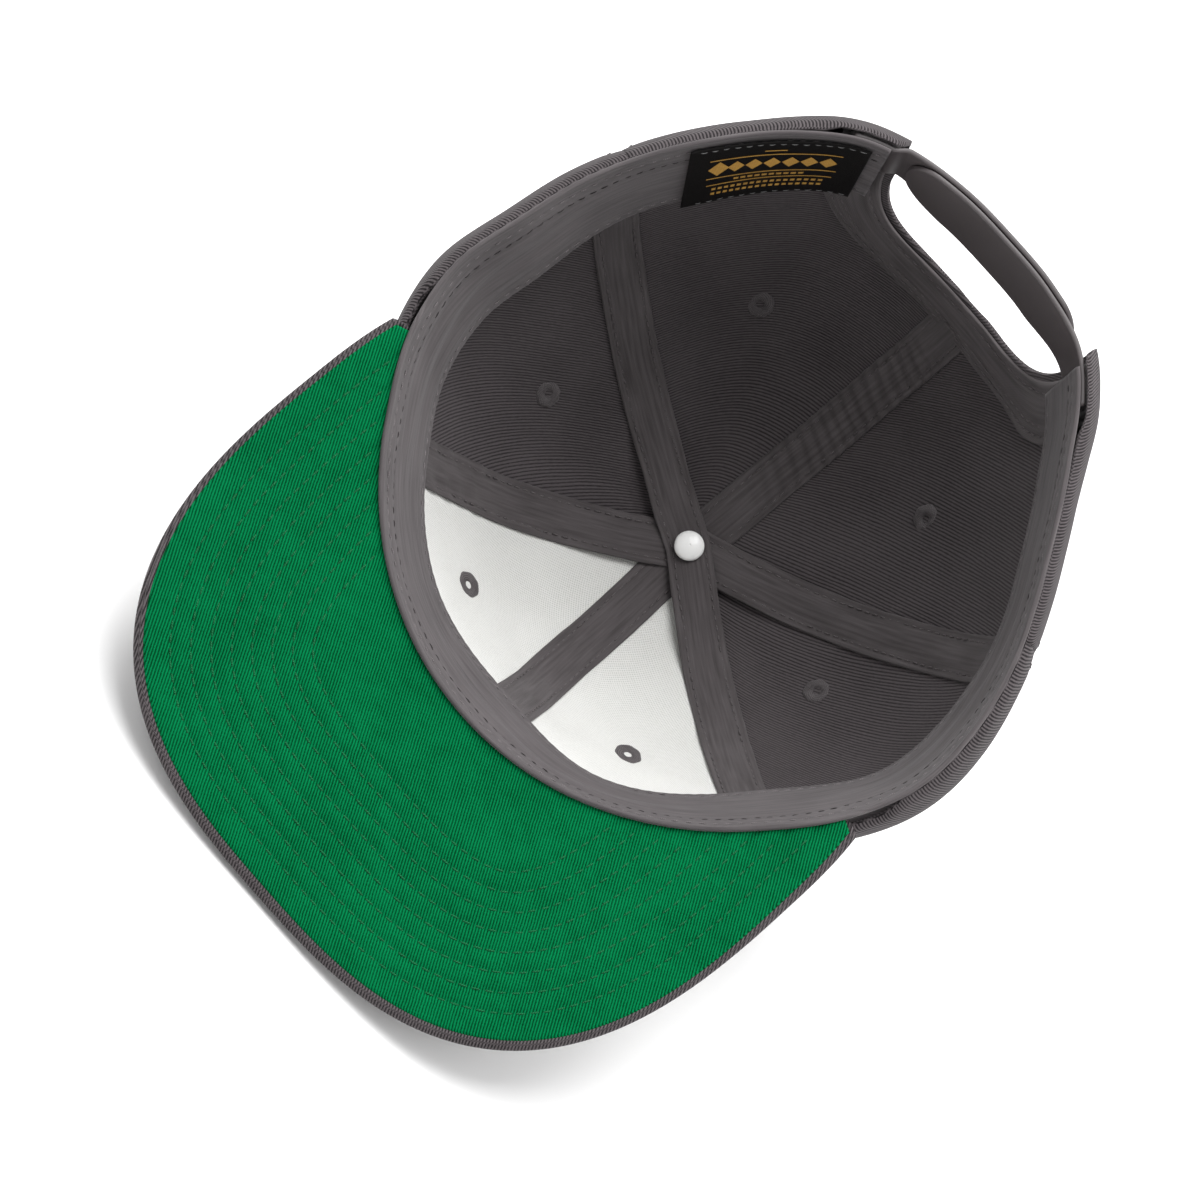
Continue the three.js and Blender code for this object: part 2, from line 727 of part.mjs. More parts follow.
function bandBottom(azimuth) {
  const visorBottom = hemBottom(azimuth) - seatGap - visorThickness;
  const onVisor = 1 - smoothStep(visorEnd, visorEnd + 5 * degree, turnFromFront(azimuth));
  return mix(0, visorBottom, onVisor) - bandDrop;
}

const bandEnd = archEdge - bandEndInset / rimRadius(archEdge);
const bandAzimuths = (() => {
  const inPanel = ({ from, to, columns }) => columns.slice(1).map((share) => mix(from, to, share));
  const lines = panels.flatMap(inPanel);
  const signed = lines.map((azimuth) => (azimuth > Math.PI ? azimuth - 2 * Math.PI : azimuth));
  const kept = signed.filter((azimuth) => Math.abs(azimuth) < bandEnd - 1 * degree);
  return [-bandEnd, ...kept, bandEnd].sort((a, b) => a - b);
})();

const bandLanes = [0, 0.1, 0.5, 1];
const bandGrid = (depth) => bandAzimuths.map((azimuth) => bandLanes.map((lane) => {
  const z = mix(bandBottom(azimuth), bandHeight, lane);
  return polar(bandRadius(azimuth, z) - depth, azimuth, z);
}));
cap.add(named('sweatband', slab(bandGrid(0), bandGrid(bandWall)), charcoalLining));

const labelTurn = labelWidth / rimRadius(labelCentre);
const labelLanes = [0, 0.5, 1];
const labelColumns = [-0.5, -0.36, -0.22, -0.08, 0.08, 0.22, 0.36, 0.5];
const labelGrid = (depth) => labelColumns.map((across) => labelLanes.map((lane) => {
  const azimuth = labelCentre + across * labelTurn;
  const z = labelFoot + lane * labelHeight;
  return polar(bandRadius(azimuth, z) - bandWall - labelGap - depth, azimuth, z);
}));
cap.add(named('label', slab(labelGrid(0), labelGrid(labelWall)), blackSatin));

// Binding along the edge of the opening, on the inside of the crown

function insideAtHeight(azimuth, z, depth) {
  const t = solve((turn) => crownPoint(azimuth, turn, depth).z, z, 0, lastRow);
  return crownPoint(azimuth, t, depth);
}

function insideBackPoint(x, z, depth) {
  const across = (azimuth) => -insideAtHeight(azimuth, z, depth).x;
  const azimuth = solve(across, -Math.abs(x), Math.PI / 2, Math.PI);
  return insideAtHeight(Math.sign(x) * azimuth, z, depth);
}

// The turn at which the opening's edge reaches the binding's foot
const bindingStart = Math.asin((bindingFoot / archHeight) ** (archSquareness / 2));
const bindingGrid = (depth) => [...Array(bindingSteps + 1).keys()].map((i) => {
  const turn = mix(bindingStart, Math.PI - bindingStart, i / bindingSteps);
  return [0, 0.5, 1].map((lane) => {
    const p = archPoint(turn, bindingInset + lane * bindingWidth);
    return insideBackPoint(p.x, p.y, clothWall + bindingGap + depth);
  });
});
cap.add(named('opening_binding', slab(bindingGrid(0), bindingGrid(bindingWall)), charcoalLining));

// Visor: a covered board whose cover wraps round the edge, with a green cloth let into its underside

const visorAzimuths = [...Array(visorSteps + 1).keys()].map((i) => mix(-visorEnd, visorEnd, i / visorSteps));
const visorHalf = visorThickness / 2;
const visorShares = [0, 0.33, 0.67, 1];

function visorPoint(azimuth, radius, above) {
  const p = polar(radius, azimuth, 0);
  p.z = visorLevel(p.x, p.y) + above;
  return p;
}

function visorTopSection(azimuth) {
  const start = rimRadius(azimuth) + seatGap;
  const end = visorReach(azimuth);
  const lip = end - visorLip;
  const shelf = underClothWall + seatGap - visorHalf;
  const bottom = visorShares.map((share) => [mix(start, lip, share), shelf]);
  const edge = [[lip, -visorHalf], [end - visorRound, -visorHalf], [end, visorRound - visorHalf]];
  const shoulder = [[end, visorHalf - visorRound]];
  const top = visorShares.map((share) => [mix(end - visorRound, start, share), visorHalf]);
  return [...bottom, ...edge, ...shoulder, ...top].map(([x, y]) => new THREE.Vector2(x, y));
}

const visorSections = visorAzimuths.map((azimuth) => visorTopSection(azimuth)
  .map((corner) => visorPoint(azimuth, corner.x, corner.y)));
cap.add(named('visor_top', loft(visorSections, visorTopSection(visorEnd)), charcoalTwill));

const undervisorGrid = (above) => visorAzimuths.map((azimuth) => visorShares.map((share) => {
  const start = rimRadius(azimuth) + seatGap;
  const end = visorReach(azimuth) - visorLip - seatGap;
  return visorPoint(azimuth, mix(start, end, share), above - visorHalf);
}));
cap.add(named('undervisor', slab(undervisorGrid(0), undervisorGrid(underClothWall)), greenTwill));

// Straps: the wearer's right one carries the pegs and lies inside, the left one has the holes

const strapTurn = (length) => length / rimRadius(Math.PI);
const strapMiddle = strapLift + strapWidth / 2;
const strapLayer = strapWall + seatGap;

// turn is measured from the middle of the back, positive to the wearer's right
function strapPoint(turn, z, depth) {
  const azimuth = Math.PI - turn;
  const towardsRoot = smoothStep(0.5 * strapInnerEnd, strapInnerEnd + strapStep, Math.abs(turn));
  const lean = mix(strapLean, strapRootLean, towardsRoot);
  return polar(rimRadius(azimuth) + seatGap - z * Math.tan(lean) + depth, azimuth, z);
}

// Half the width at a distance from the strap's rounded free end
function strapHalfWidth(fromEnd) {
  const rest = Math.max(strapEndRadius - fromEnd, 0);
  return strapWidth / 2 - strapEndRadius + Math.sqrt(strapEndRadius ** 2 - rest ** 2);
}

function strapBody(root, end, layerDepth) {
  const endSteps = [0, 0.06, 0.25, 0.6, 1].map((share) => share * strapEndRadius);
  const side = Math.sign(root - end);
  const rounded = endSteps.map((step) => ({ turn: end + side * strapTurn(step), step }));
  const start = rounded[rounded.length - 1].turn;
  const straight = [...Array(strapSteps).keys()].map((i) => ({
    turn: mix(start, root, (i + 1) / strapSteps),
    step: strapEndRadius,
  }));
  const grid = (extra) => [...rounded, ...straight].map(({ turn, step }) => [-1, 0, 1].map((lane) => (
    strapPoint(turn, strapMiddle + lane * strapHalfWidth(step), layerDepth(turn) + extra)
  )));
  return toManifold(slab(grid(0), grid(strapWall)));
}

const pegTurns = [...Array(pegCount).keys()].map((i) => strapTurn((i - (pegCount - 1) / 2) * pegSpacing));

function pegBody(turn, radius, low, high) {
  const origin = strapPoint(turn, strapMiddle, 0);
  const direction = strapPoint(turn, strapMiddle, 1).sub(origin).normalize();
  const end = [[radius, high - pegRound], [radius - pegRound, high], [0, high]];
  const profile = [[0, low], [radius, low], ...end];
  return toManifold(weldable(placed(latheBody(profile, pegSides), origin, direction)));
}

// The outer strap comes in to the inner one's layer before it reaches the crown
const easeStart = strapInnerEnd + strapStep / 3;
const easeEnd = strapInnerEnd + strapStep * 1.2;
const outerLayer = (turn) => strapLayer * (1 - smoothStep(easeStart, easeEnd, -turn));
let innerStrap = strapBody(strapRoot, -strapInnerEnd, () => 0);
let outerStrap = strapBody(-strapRoot, strapOuterEnd, outerLayer);
for (const turn of pegTurns) {
  innerStrap = innerStrap.add(pegBody(turn, pegRadius, strapWall / 2, strapLayer + strapWall + pegReach));
  outerStrap = outerStrap.subtract(pegBody(turn, pegRadius + seatGap, strapWall / 2, 3 * strapLayer));
}
cap.add(named('strap_right', toGeometry(innerStrap), charcoalPlastic));
cap.add(named('strap_left', toGeometry(outerStrap), charcoalPlastic));

// The whole cap is turned over onto its rest, with its box centred over zero and the floor at zero

cap.rotation.x = Math.PI + restTilt;
cap.updateMatrixWorld(true);
const bounds = new THREE.Box3().setFromObject(cap, true);
const middle = bounds.getCenter(new THREE.Vector3());
cap.position.set(-middle.x, -middle.y, -bounds.min.z);

const part = new THREE.Group();
part.add(cap);
export default part;
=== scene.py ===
"""A six-panel snapback cap lying upside down on a pale floor.

Shapes are worked out in millimetres in the cap's own frame: +X to the wearer's right, +Y to the
visor, +Z to the top of the crown, with the centre of the rim at zero. Each mesh is then laid down
with the cap's resting turn and place, in metres.
"""

import math

import bpy
import numpy as np
from mathutils import Matrix, Vector


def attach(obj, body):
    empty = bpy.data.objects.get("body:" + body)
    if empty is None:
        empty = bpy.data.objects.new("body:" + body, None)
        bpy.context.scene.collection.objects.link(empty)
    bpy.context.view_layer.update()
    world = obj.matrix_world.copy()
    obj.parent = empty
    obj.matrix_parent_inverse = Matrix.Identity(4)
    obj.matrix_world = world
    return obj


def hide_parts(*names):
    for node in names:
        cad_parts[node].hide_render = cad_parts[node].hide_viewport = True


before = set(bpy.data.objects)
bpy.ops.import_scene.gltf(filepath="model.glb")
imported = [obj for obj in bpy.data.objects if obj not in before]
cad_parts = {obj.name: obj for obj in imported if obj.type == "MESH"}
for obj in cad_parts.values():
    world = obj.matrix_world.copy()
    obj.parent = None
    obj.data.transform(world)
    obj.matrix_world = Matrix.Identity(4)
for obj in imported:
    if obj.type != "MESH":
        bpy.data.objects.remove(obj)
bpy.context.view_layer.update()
random = np.random.RandomState(7)

# Dimensions, the same as the solids

RIM_HALF_WIDTH = 88.5
RIM_FRONT_REACH = 93.2
RIM_BACK_REACH = 97.0
CROWN_HEIGHT = 112.5
CLOTH_WALL = 1.6
HEM_WALL = 2.6
SEAM_DIP = 0.8
SEAM_DIP_WIDTH = 3.2
SEAT_GAP = 0.3
REST_DENT = 1.6
ARCH_HALF_WIDTH = 36.0
ARCH_HEIGHT = 47.0
ARCH_SQUARENESS = 4.2
ARCH_AZIMUTH = 158.0
TAB_SWELL = 1.6
TAB_TURN = 24.0
BINDING_WIDTH = 11.0
BINDING_FOOT = 7.0
BAND_HEIGHT = 32.0
BAND_DROP = 0.6
BAND_END_INSET = 1.0
LABEL_WIDTH = 49.0
LABEL_HEIGHT = 33.0
LABEL_FOOT = 1.0
LABEL_CENTRE = 220.5
TAPE_WIDTH = 13.0
TAPE_LAYER = 1.45
TAPE_TUCK = 8.0
TAPE_LIFT_START = 41.0
TAPE_LIFT_END = 23.0
BUTTON_RADIUS = 7.5
BUTTON_HEIGHT = 5.0
RIVET_RADIUS = 4.3
RIVET_HEIGHT = 2.4
RIVET_GAP = 0.5
CROWN_HOLE_RADIUS = 3.0
EYELET_RADIUS = 4.0
EYELET_FLANGE = 0.8
EYELET_HOLE = 0.9
VISOR_HALF_WIDTH = 89.3
VISOR_CENTRE = 64.0
VISOR_FRONT_REACH = 97.0
VISOR_BACK_REACH = 75.0
VISOR_SQUARENESS = 2.8
VISOR_SLOPE = math.radians(8.5)
VISOR_THICKNESS = 3.8
VISOR_END = 66.0
STRAP_WIDTH = 19.0
STRAP_WALL = 1.4
STRAP_LIFT = 1.2
STRAP_LEAN = math.radians(9)
STRAP_ROOT_LEAN = math.radians(2)
STRAP_ROOT = 29.0
STRAP_OUTER_END = 17.4
STRAP_INNER_END = 19.0
STRAP_END_RADIUS = 8.0
STRAP_STEP = 3.0
PEG_COUNT = 7
PEG_SPACING = 7.5
PEG_RADIUS = 1.6
PEG_REACH = 1.1

# The rim's radius as a share of an ellipse: azimuth from the front, wearer's left, wearer's right
RIM_ROWS = np.array([
    (0, 1, 1),
    (50, 1, 1),
    (66, 1.02, 1.022),
    (79, 1.018, 1.03),
    (92, 0.982, 1),
    (104, 0.975, 0.962),
    (116, 0.971, 0.926),
    (128, 0.974, 0.91),
    (142, 0.993, 0.928),
    (152, 1.008, 0.968),
    (160, 1, 0.994),
    (170, 0.985, 0.985),
    (180, 0.975, 0.975),
])
# The seams' azimuths, from the middle of the front round to the wearer's right
SEAMS = {
    "front": 2.5,
    "right_front": 55,
    "right_back": 109,
    "back": 177,
    "left_back": 246.5,
    "left_front": 308.5,
}
# The crown's outside: height share, then radius shares at the front, sides and back
CROWN_ROWS = np.array([
    (0, 0.985, 0.985, 0.985),
    (0.02, 1, 1, 1),
    (0.07, 0.975, 1.022, 1.03),
    (0.15, 0.93, 1.03, 1.035),
    (0.27, 0.875, 1.012, 1.01),
    (0.42, 0.812, 0.955, 0.94),
    (0.57, 0.745, 0.85, 0.855),
    (0.7, 0.672, 0.715, 0.745),
    (0.82, 0.565, 0.57, 0.61),
    (0.915, 0.405, 0.41, 0.435),
    (0.975, 0.23, 0.235, 0.245),
    (0.994, 0.11, 0.112, 0.115),
    (1, 0, 0, 0),
])
HEIGHT, FRONT, SIDE, BACK = range(4)
# How far the sweatband leans in, as a share of its height: azimuth, wearer's left, wearer's right
BAND_ROWS = np.array([
    (0, 0.485, 0.485),
    (24, 0.4, 0.34),
    (48, 0.36, 0.37),
    (62, 0.34, 0.37),
    (78, 0.335, 0.25),
    (98, 0.28, 0.14),
    (114, 0.2, 0.05),
    (130, 0.18, 0.04),
    (155, 0.1, 0.04),
    (180, 0.1, 0.04),
])
# Panels: name, first seam, last seam, cloth, eyelet's azimuth and height share, turn of the inside's ribs
PANELS = [
    ("front_panel_right", "front", "right_front", "white", 30, 0.66, 85),
    ("side_panel_right", "right_front", "right_back", "charcoal", 86, 0.8, 112),
    ("back_panel_right", "right_back", "back", "charcoal", 142, 0.715, 64),
    ("back_panel_left", "back", "left_back", "charcoal", 213, 0.735, 7),
    ("side_panel_left", "left_back", "left_front", "charcoal", 275, 0.77, 129),
    ("front_panel_left", "left_front", "front", "white", 333, 0.66, 111),
]


# Small functions

def mix(a, b, share):
    return a + (b - a) * share


def smooth_step(low, high, value):
    share = np.clip((value - low) / (high - low), 0, 1)
    return share * share * (3 - 2 * share)


def smooth_table(xs, ys, value):
    """A curve through a table's rows, level at both ends."""
    slopes = np.zeros(len(xs))
    slopes[1:-1] = (ys[2:] - ys[:-2]) / (xs[2:] - xs[:-2])
    at = np.clip(value, xs[0], xs[-1])
    i = np.clip(np.searchsorted(xs, at, side="right") - 1, 0, len(xs) - 2)
    span = xs[i + 1] - xs[i]
    s = (at - xs[i]) / span
    share = 3 * s**2 - 2 * s**3
    bend = slopes[i] * (s**3 - 2 * s**2 + s) + slopes[i + 1] * (s**3 - s**2)
    return mix(ys[i], ys[i + 1], share) + bend * span


def solve(rising, low, high):
    """The place where a rising function passes zero, by halving, for whole arrays."""
    low = np.array(low, float)
    high = np.array(high, float)
    for _ in range(34):
        middle = (low + high) / 2
        below = rising(middle) < 0
        low = np.where(below, middle, low)
        high = np.where(below, high, middle)
    return (low + high) / 2


def polar(radius, azimuth, z):
    """Points at a radius and azimuth in degrees from the front, positive to the wearer's right."""
    turn = np.radians(azimuth)
    return np.stack(np.broadcast_arrays(radius * np.sin(turn), radius * np.cos(turn), z), -1)


def unit(vectors):
    return vectors / np.maximum(np.linalg.norm(vectors, axis=-1, keepdims=True), 1e-9)


def signed(azimuth):
    return (np.asarray(azimuth, float) + 180) % 360 - 180


def by_side(rows, azimuth):
    """A table's value at an azimuth, from its column for the wearer's left or the one for the right."""
    from_front = np.abs(signed(azimuth))
    left, right = (smooth_table(rows[:, 0], rows[:, k], from_front) for k in (1, 2))
    return np.where(signed(azimuth) < 0, left, right)


def ridge(distance, width):
    """A soft ridge: 1 where the distance is zero, and next to nothing beyond twice the width."""
    return np.exp(-((distance / width) ** 2))


def along(points):
    """Length along a line of points."""
    return np.concatenate([[0], np.cumsum(np.linalg.norm(np.diff(points, axis=0), axis=1))])


def sample(at, lengths, rows):
    """Points or directions at some lengths along their line."""
    return np.stack([np.interp(at, lengths, rows[:, k]) for k in range(rows.shape[1])], 1)


# Shape of the rim and the crown

LAST_ROW = len(CROWN_ROWS) - 1
ROWS_BELOW = 2 * CROWN_ROWS[0] - CROWN_ROWS[1]
ROWS_ABOVE = CROWN_ROWS[-2] * np.array([1, -1, -1, -1])
ALL_ROWS = np.vstack([ROWS_BELOW, CROWN_ROWS, ROWS_ABOVE])


def rim_radius(azimuth):
    turn = np.radians(azimuth)
    reach = np.where(np.cos(turn) > 0, RIM_FRONT_REACH, RIM_BACK_REACH)
    ellipse = 1 / np.hypot(np.sin(turn) / RIM_HALF_WIDTH, np.cos(turn) / reach)
    return ellipse * by_side(RIM_ROWS, azimuth)


def crown_share(key, t):
    i = np.clip(np.floor(t), 0, LAST_ROW - 1).astype(int)
    s = t - i
    a, b, c, d = (ALL_ROWS[i + k, key] for k in range(4))
    return b + 0.5 * s * (c - a + s * (2 * a - 5 * b + 4 * c - d + s * (3 * (b - c) + d - a)))


ARCH_EDGE = 180 - math.degrees(math.asin(ARCH_HALF_WIDTH / float(rim_radius(ARCH_AZIMUTH))))


def tab_share(azimuth):
    return smooth_step(ARCH_EDGE - TAB_TURN, ARCH_EDGE - TAB_TURN / 3, np.abs(signed(azimuth)))


def crown_outside(azimuth, t):
    level = np.cos(np.radians(azimuth)) ** 2
    end = np.where(np.cos(np.radians(azimuth)) > 0, crown_share(FRONT, t), crown_share(BACK, t))
    share = mix(crown_share(SIDE, t), end, level)
    z = crown_share(HEIGHT, t) * CROWN_HEIGHT
    swell = TAB_SWELL * tab_share(azimuth) * (1 - smooth_step(0.5, 1, z / BAND_HEIGHT))
    return (rim_radius(azimuth) + SEAT_GAP + HEM_WALL) * share + swell, z


def crown_point(azimuth, t, depth):
    """Points at a depth below the crown's outside."""
    step = 0.02
    azimuth, t, depth = np.broadcast_arrays(azimuth, t, depth)
    radius, z = crown_outside(azimuth, t)
    radius_above, z_above = crown_outside(azimuth, np.minimum(t + step, LAST_ROW))
    radius_below, z_below = crown_outside(azimuth, np.minimum(t + step, LAST_ROW) - 2 * step)
    up = z_above - z_below
    out = radius_above - radius_below
    size = np.hypot(up, out)
    is_top = t >= LAST_ROW - 1e-6
    tilt = np.where(is_top, 1, smooth_step(1, 3, t))
    across = np.where(is_top, 0, mix(1, up / size, tilt))
    upward = np.where(is_top, 1, tilt * (-out / size))
    return polar(radius - depth * across, azimuth, z - depth * upward)


def inside_depth(azimuth, t):
    hem = mix(HEM_WALL, CLOTH_WALL, tab_share(azimuth))
    low = crown_outside(azimuth, t)[0] - crown_outside(azimuth, np.ones_like(t))[0] + hem
    return np.where(t <= 1, low, mix(hem, CLOTH_WALL, smooth_step(1, 3, t)))


MEAN_RADIUS = 92
FINE_TURNS = np.linspace(0, LAST_ROW, 1201)
FINE_HEIGHTS = crown_share(HEIGHT, FINE_TURNS) * CROWN_HEIGHT
FINE_RADII = crown_share(SIDE, FINE_TURNS) * MEAN_RADIUS
FINE_ARCS = np.concatenate([[0], np.cumsum(np.hypot(np.diff(FINE_HEIGHTS), np.diff(FINE_RADII)))])


def turn_at_height(z):
    return np.interp(z, FINE_HEIGHTS, FINE_TURNS)


def arc_at_turn(t):
    return np.interp(t, FINE_TURNS, FINE_ARCS)


def turn_at_arc(arc):
    return np.interp(arc, FINE_ARCS, FINE_TURNS)


def turn_at_radius(azimuth, radius):
    low = np.full(np.shape(azimuth), LAST_ROW - 4.0)
    high = np.full(np.shape(azimuth), float(LAST_ROW))
    return solve(lambda t: radius - crown_outside(azimuth, t)[0], low, high)


# Visor surface

END_TURN = math.radians(VISOR_END)
END_RADIUS = float(rim_radius(VISOR_END))
VISOR_CURVE = (END_RADIUS * math.sin(END_TURN)) ** 2 / (
    2 * math.tan(VISOR_SLOPE) * (RIM_FRONT_REACH - END_RADIUS * math.cos(END_TURN))
)


def visor_level(x, y):
    return -math.tan(VISOR_SLOPE) * (y - RIM_FRONT_REACH) - x**2 / (2 * VISOR_CURVE)


def visor_reach(azimuth):
    def outside(radius):
        p = polar(radius, azimuth, 0 * azimuth)
        reach = np.where(p[..., 1] > VISOR_CENTRE, VISOR_FRONT_REACH, VISOR_BACK_REACH)
        across = np.abs(p[..., 0] / VISOR_HALF_WIDTH) ** VISOR_SQUARENESS
        return across + np.abs((p[..., 1] - VISOR_CENTRE) / reach) ** VISOR_SQUARENESS - 1

    azimuth = np.asarray(azimuth, float)
    far = np.full(azimuth.shape, 2 * (VISOR_CENTRE + VISOR_FRONT_REACH))
    return solve(outside, rim_radius(azimuth), far)


def hem_bottom(azimuth):
    p = polar(rim_radius(azimuth), azimuth, 0)
    on_visor = visor_level(p[..., 0], p[..., 1]) + VISOR_THICKNESS / 2 + SEAT_GAP
    turn = np.abs(signed(azimuth))
    return on_visor * (1 - smooth_step(VISOR_END + 4.5, VISOR_END + 10, turn))


# Rest on the floor

TIP_Y = float(visor_reach(np.array(0.0)))
TIP_Z = visor_level(0, TIP_Y) + VISOR_THICKNESS / 2
FRONT_LINE = crown_point(np.zeros(121), np.linspace(4, 10, 121), np.zeros(121))


def tilt_fit(tilt):
    tip = TIP_Y * np.sin(tilt) + TIP_Z * np.cos(tilt)
    crown = (FRONT_LINE[:, 1] * np.sin(tilt) + FRONT_LINE[:, 2] * np.cos(tilt)).max()
    return tip - crown + REST_DENT


REST_TILT = float(solve(tilt_fit, math.radians(20), math.radians(69)))
FLOOR_REACH = TIP_Y * math.sin(REST_TILT) + TIP_Z * math.cos(REST_TILT)
DOWNWARD = np.array([0, math.sin(REST_TILT), math.cos(REST_TILT)])


def settle(points, depth):
    """Cloth that would go through the floor is pressed flat on it."""
    below = np.maximum(points @ DOWNWARD - (FLOOR_REACH - depth), 0)
    return points - below[..., None] * DOWNWARD


# The rim's centre, with the whole cap centred over the floor's zero
REST_PLACE = np.array([-0.819, 9.623, FLOOR_REACH])
REST_MATRIX = np.array(Matrix.Rotation(math.pi + REST_TILT, 3, "X"))


def to_world(points):
    return (points @ REST_MATRIX.T + REST_PLACE) / 1000


# Meshes

def add_object(name, data):
    obj = bpy.data.objects.new(name, data)
    bpy.context.scene.collection.objects.link(obj)
    return obj


def build_mesh(name, points, quads, uvs, caps=()):
    """A smooth mesh from points in millimetres, quads with texture places, and end caps."""
    mesh = bpy.data.meshes.new(name)
    world = to_world(points.reshape(-1, 3))
    mesh.vertices.add(len(world))
    mesh.vertices.foreach_set("co", world.astype(np.float32).ravel())
    corners = np.concatenate([quads.ravel()] + [np.array(cap) for cap in caps]).astype(np.int32)
    sizes = np.concatenate([np.full(len(quads), 4), [len(cap) for cap in caps]]).astype(np.int32)
    mesh.loops.add(len(corners))
    mesh.loops.foreach_set("vertex_index", corners)
    mesh.polygons.add(len(sizes))
    starts = np.concatenate([[0], np.cumsum(sizes)[:-1]]).astype(np.int32)
    mesh.polygons.foreach_set("loop_start", starts)
    mesh.polygons.foreach_set("use_smooth", np.ones(len(sizes), bool))
    layer = mesh.uv_layers.new(name="weave")
    places = np.zeros((len(corners), 2), np.float32)
    places[: uvs.size // 2] = uvs.reshape(-1, 2) / 1000
    layer.uv.foreach_set("vector", places.ravel())
    mesh.update(calc_edges=True)
    mesh.validate()
    return add_object(name, mesh)


def grid_quads(rows, columns, wrap):
    """Corner numbers of a grid's quads, and their places in a grid with one column more if it wraps."""
    steps = columns if wrap else columns - 1
    i, j = np.meshgrid(np.arange(rows - 1), np.arange(steps), indexing="ij")
    i = i.ravel()
    j = j.ravel()
    k = (j + 1) % columns
    quads = np.stack([i * columns + j, i * columns + k, (i + 1) * columns + k, (i + 1) * columns + j], 1)
    wide = steps + 1
    places = np.stack([i * wide + j, i * wide + j + 1, (i + 1) * wide + j + 1, (i + 1) * wide + j], 1)
    return quads, places


def face_outward(points, quads):
    """True if the quads of a closed body face out."""
    flat = points.reshape(-1, 3)
    a, b, c, d = (flat[quads[:, k]] for k in range(4))
    volume = np.einsum("ij,ij->i", a, np.cross(b, c)) + np.einsum("ij,ij->i", a, np.cross(c, d))
    return volume.sum() > 0


def loop_body(name, points, u, v, closed_ends=True):
    """A body through closed sections: points is sections x corners x 3, u and v have one corner more."""
    sections, corners = points.shape[:2]
    quads, places = grid_quads(sections, corners, True)
    uv = np.stack([u.ravel(), v.ravel()], 1)
    caps = []
    if closed_ends:
        last = (sections - 1) * corners
        caps = [list(range(corners))[::-1], [last + k for k in range(corners)]]
    uvs = uv[places]
    if not face_outward(points, quads):
        quads = quads[:, ::-1]
        uvs = uvs[:, ::-1]
        caps = [cap[::-1] for cap in caps]
    return build_mesh(name, points, quads, uvs, caps)


def section_lengths(points):
    """Length along each closed section, with the closing step, as v values."""
    closed = np.concatenate([points, points[:, :1]], 1)
    steps = np.linalg.norm(np.diff(closed, axis=1), axis=-1)
    return np.concatenate([np.zeros((len(points), 1)), np.cumsum(steps, 1)], 1)


def sheet_body(name, outer, inner, u, v, rounding=5):
    """A sheet with thickness and round edges along its rows, from two grids of one size."""
    middle = (outer + inner) / 2
    half = (outer - inner) / 2
    thick = np.linalg.norm(half, axis=-1, keepdims=True)
    first_out = unit(middle[:, 0] - middle[:, 1])
    last_out = unit(middle[:, -1] - middle[:, -2])
    turns = np.linspace(0, math.pi, rounding + 2)[1:-1]

    def bow(k, out):
        bulge = out * thick[:, k]
        rim = [middle[:, k] + half[:, k] * math.cos(turn) + bulge * math.sin(turn) for turn in turns]
        return np.stack(rim, 1)

    end = bow(-1, last_out)
    start = bow(0, first_out)[:, ::-1]
    points = np.concatenate([outer, end, inner[:, ::-1], start], 1)
    ends_u = np.repeat(u[:, -1:], rounding, 1)
    starts_u = np.repeat(u[:, :1], rounding + 1, 1)
    loop_u = np.concatenate([u, ends_u, u[:, ::-1], starts_u], 1)
    spread = np.arange(1, rounding + 1) * 0.4
    end_v = v[:, -1:] + spread
    start_v = v[:, :1] - np.append(spread[::-1], 0)
    loop_v = np.concatenate([v, end_v, v[:, ::-1], start_v], 1)
    return loop_body(name, points, loop_u, loop_v)


def face_along(points, origin, direction):
    """Points about the +Z axis turned to a direction and moved to an origin."""
    turn = Vector((0, 0, 1)).rotation_difference(Vector(direction)).to_matrix()
    return points @ np.array(turn).T + origin


def spin(name, outline, radius, sides=64, place=(np.zeros(3), (0, 0, 1))):
    """A turned body from a closed outline of (radius, z), about +Z or about a place's direction."""
    turns = np.linspace(0, 360, sides + 1)
    outline = np.array(outline)
    points = polar(outline[None, :, 0], turns[:, None], outline[None, :, 1])
    v = np.tile(np.append(along(outline), along(outline)[-1] + 1), (sides + 1, 1))
    u = np.radians(turns)[:, None] * radius + 0 * v
    return loop_body(name, face_along(points, *place), u, v, closed_ends=False)


POST_SIDES = 28
POST_ENDS = (-5.0, 6.0)


def posts(name, places, radius):
    """One mesh of round posts through surfaces, to cut holes with, from (origin, direction) pairs."""
    turns = np.linspace(0, 360, POST_SIDES, endpoint=False)
    rings = polar(radius, turns[None], np.array(POST_ENDS)[:, None]).reshape(-1, 3)
    points, quads, caps = [], [], []
    for number, place in enumerate(places):
        points.append(face_along(rings, *place))
        first = number * 2 * POST_SIDES
        quads.append(grid_quads(2, POST_SIDES, True)[0][:, ::-1] + first)
        caps.append([first + k for k in range(POST_SIDES)])
        caps.append([first + POST_SIDES + k for k in range(POST_SIDES)][::-1])
    quads = np.concatenate(quads)
    return build_mesh(name, np.concatenate(points), quads, np.zeros((len(quads), 4, 2)), caps)


def cut(obj, cutter):
    """Cuts one mesh out of another for good, and removes the cutter."""
    modifier = obj.modifiers.new("cut", "BOOLEAN")
    modifier.operation = "DIFFERENCE"
    modifier.solver = "EXACT"
    modifier.object = cutter
    bpy.context.view_layer.update()
    shown = obj.evaluated_get(bpy.context.evaluated_depsgraph_get())
    mesh = bpy.data.meshes.new_from_object(shown)
    obj.modifiers.clear()
    obj.data = mesh
    bpy.data.objects.remove(cutter)


# Stitches: short threads laid on a surface, each one sunk in at both ends

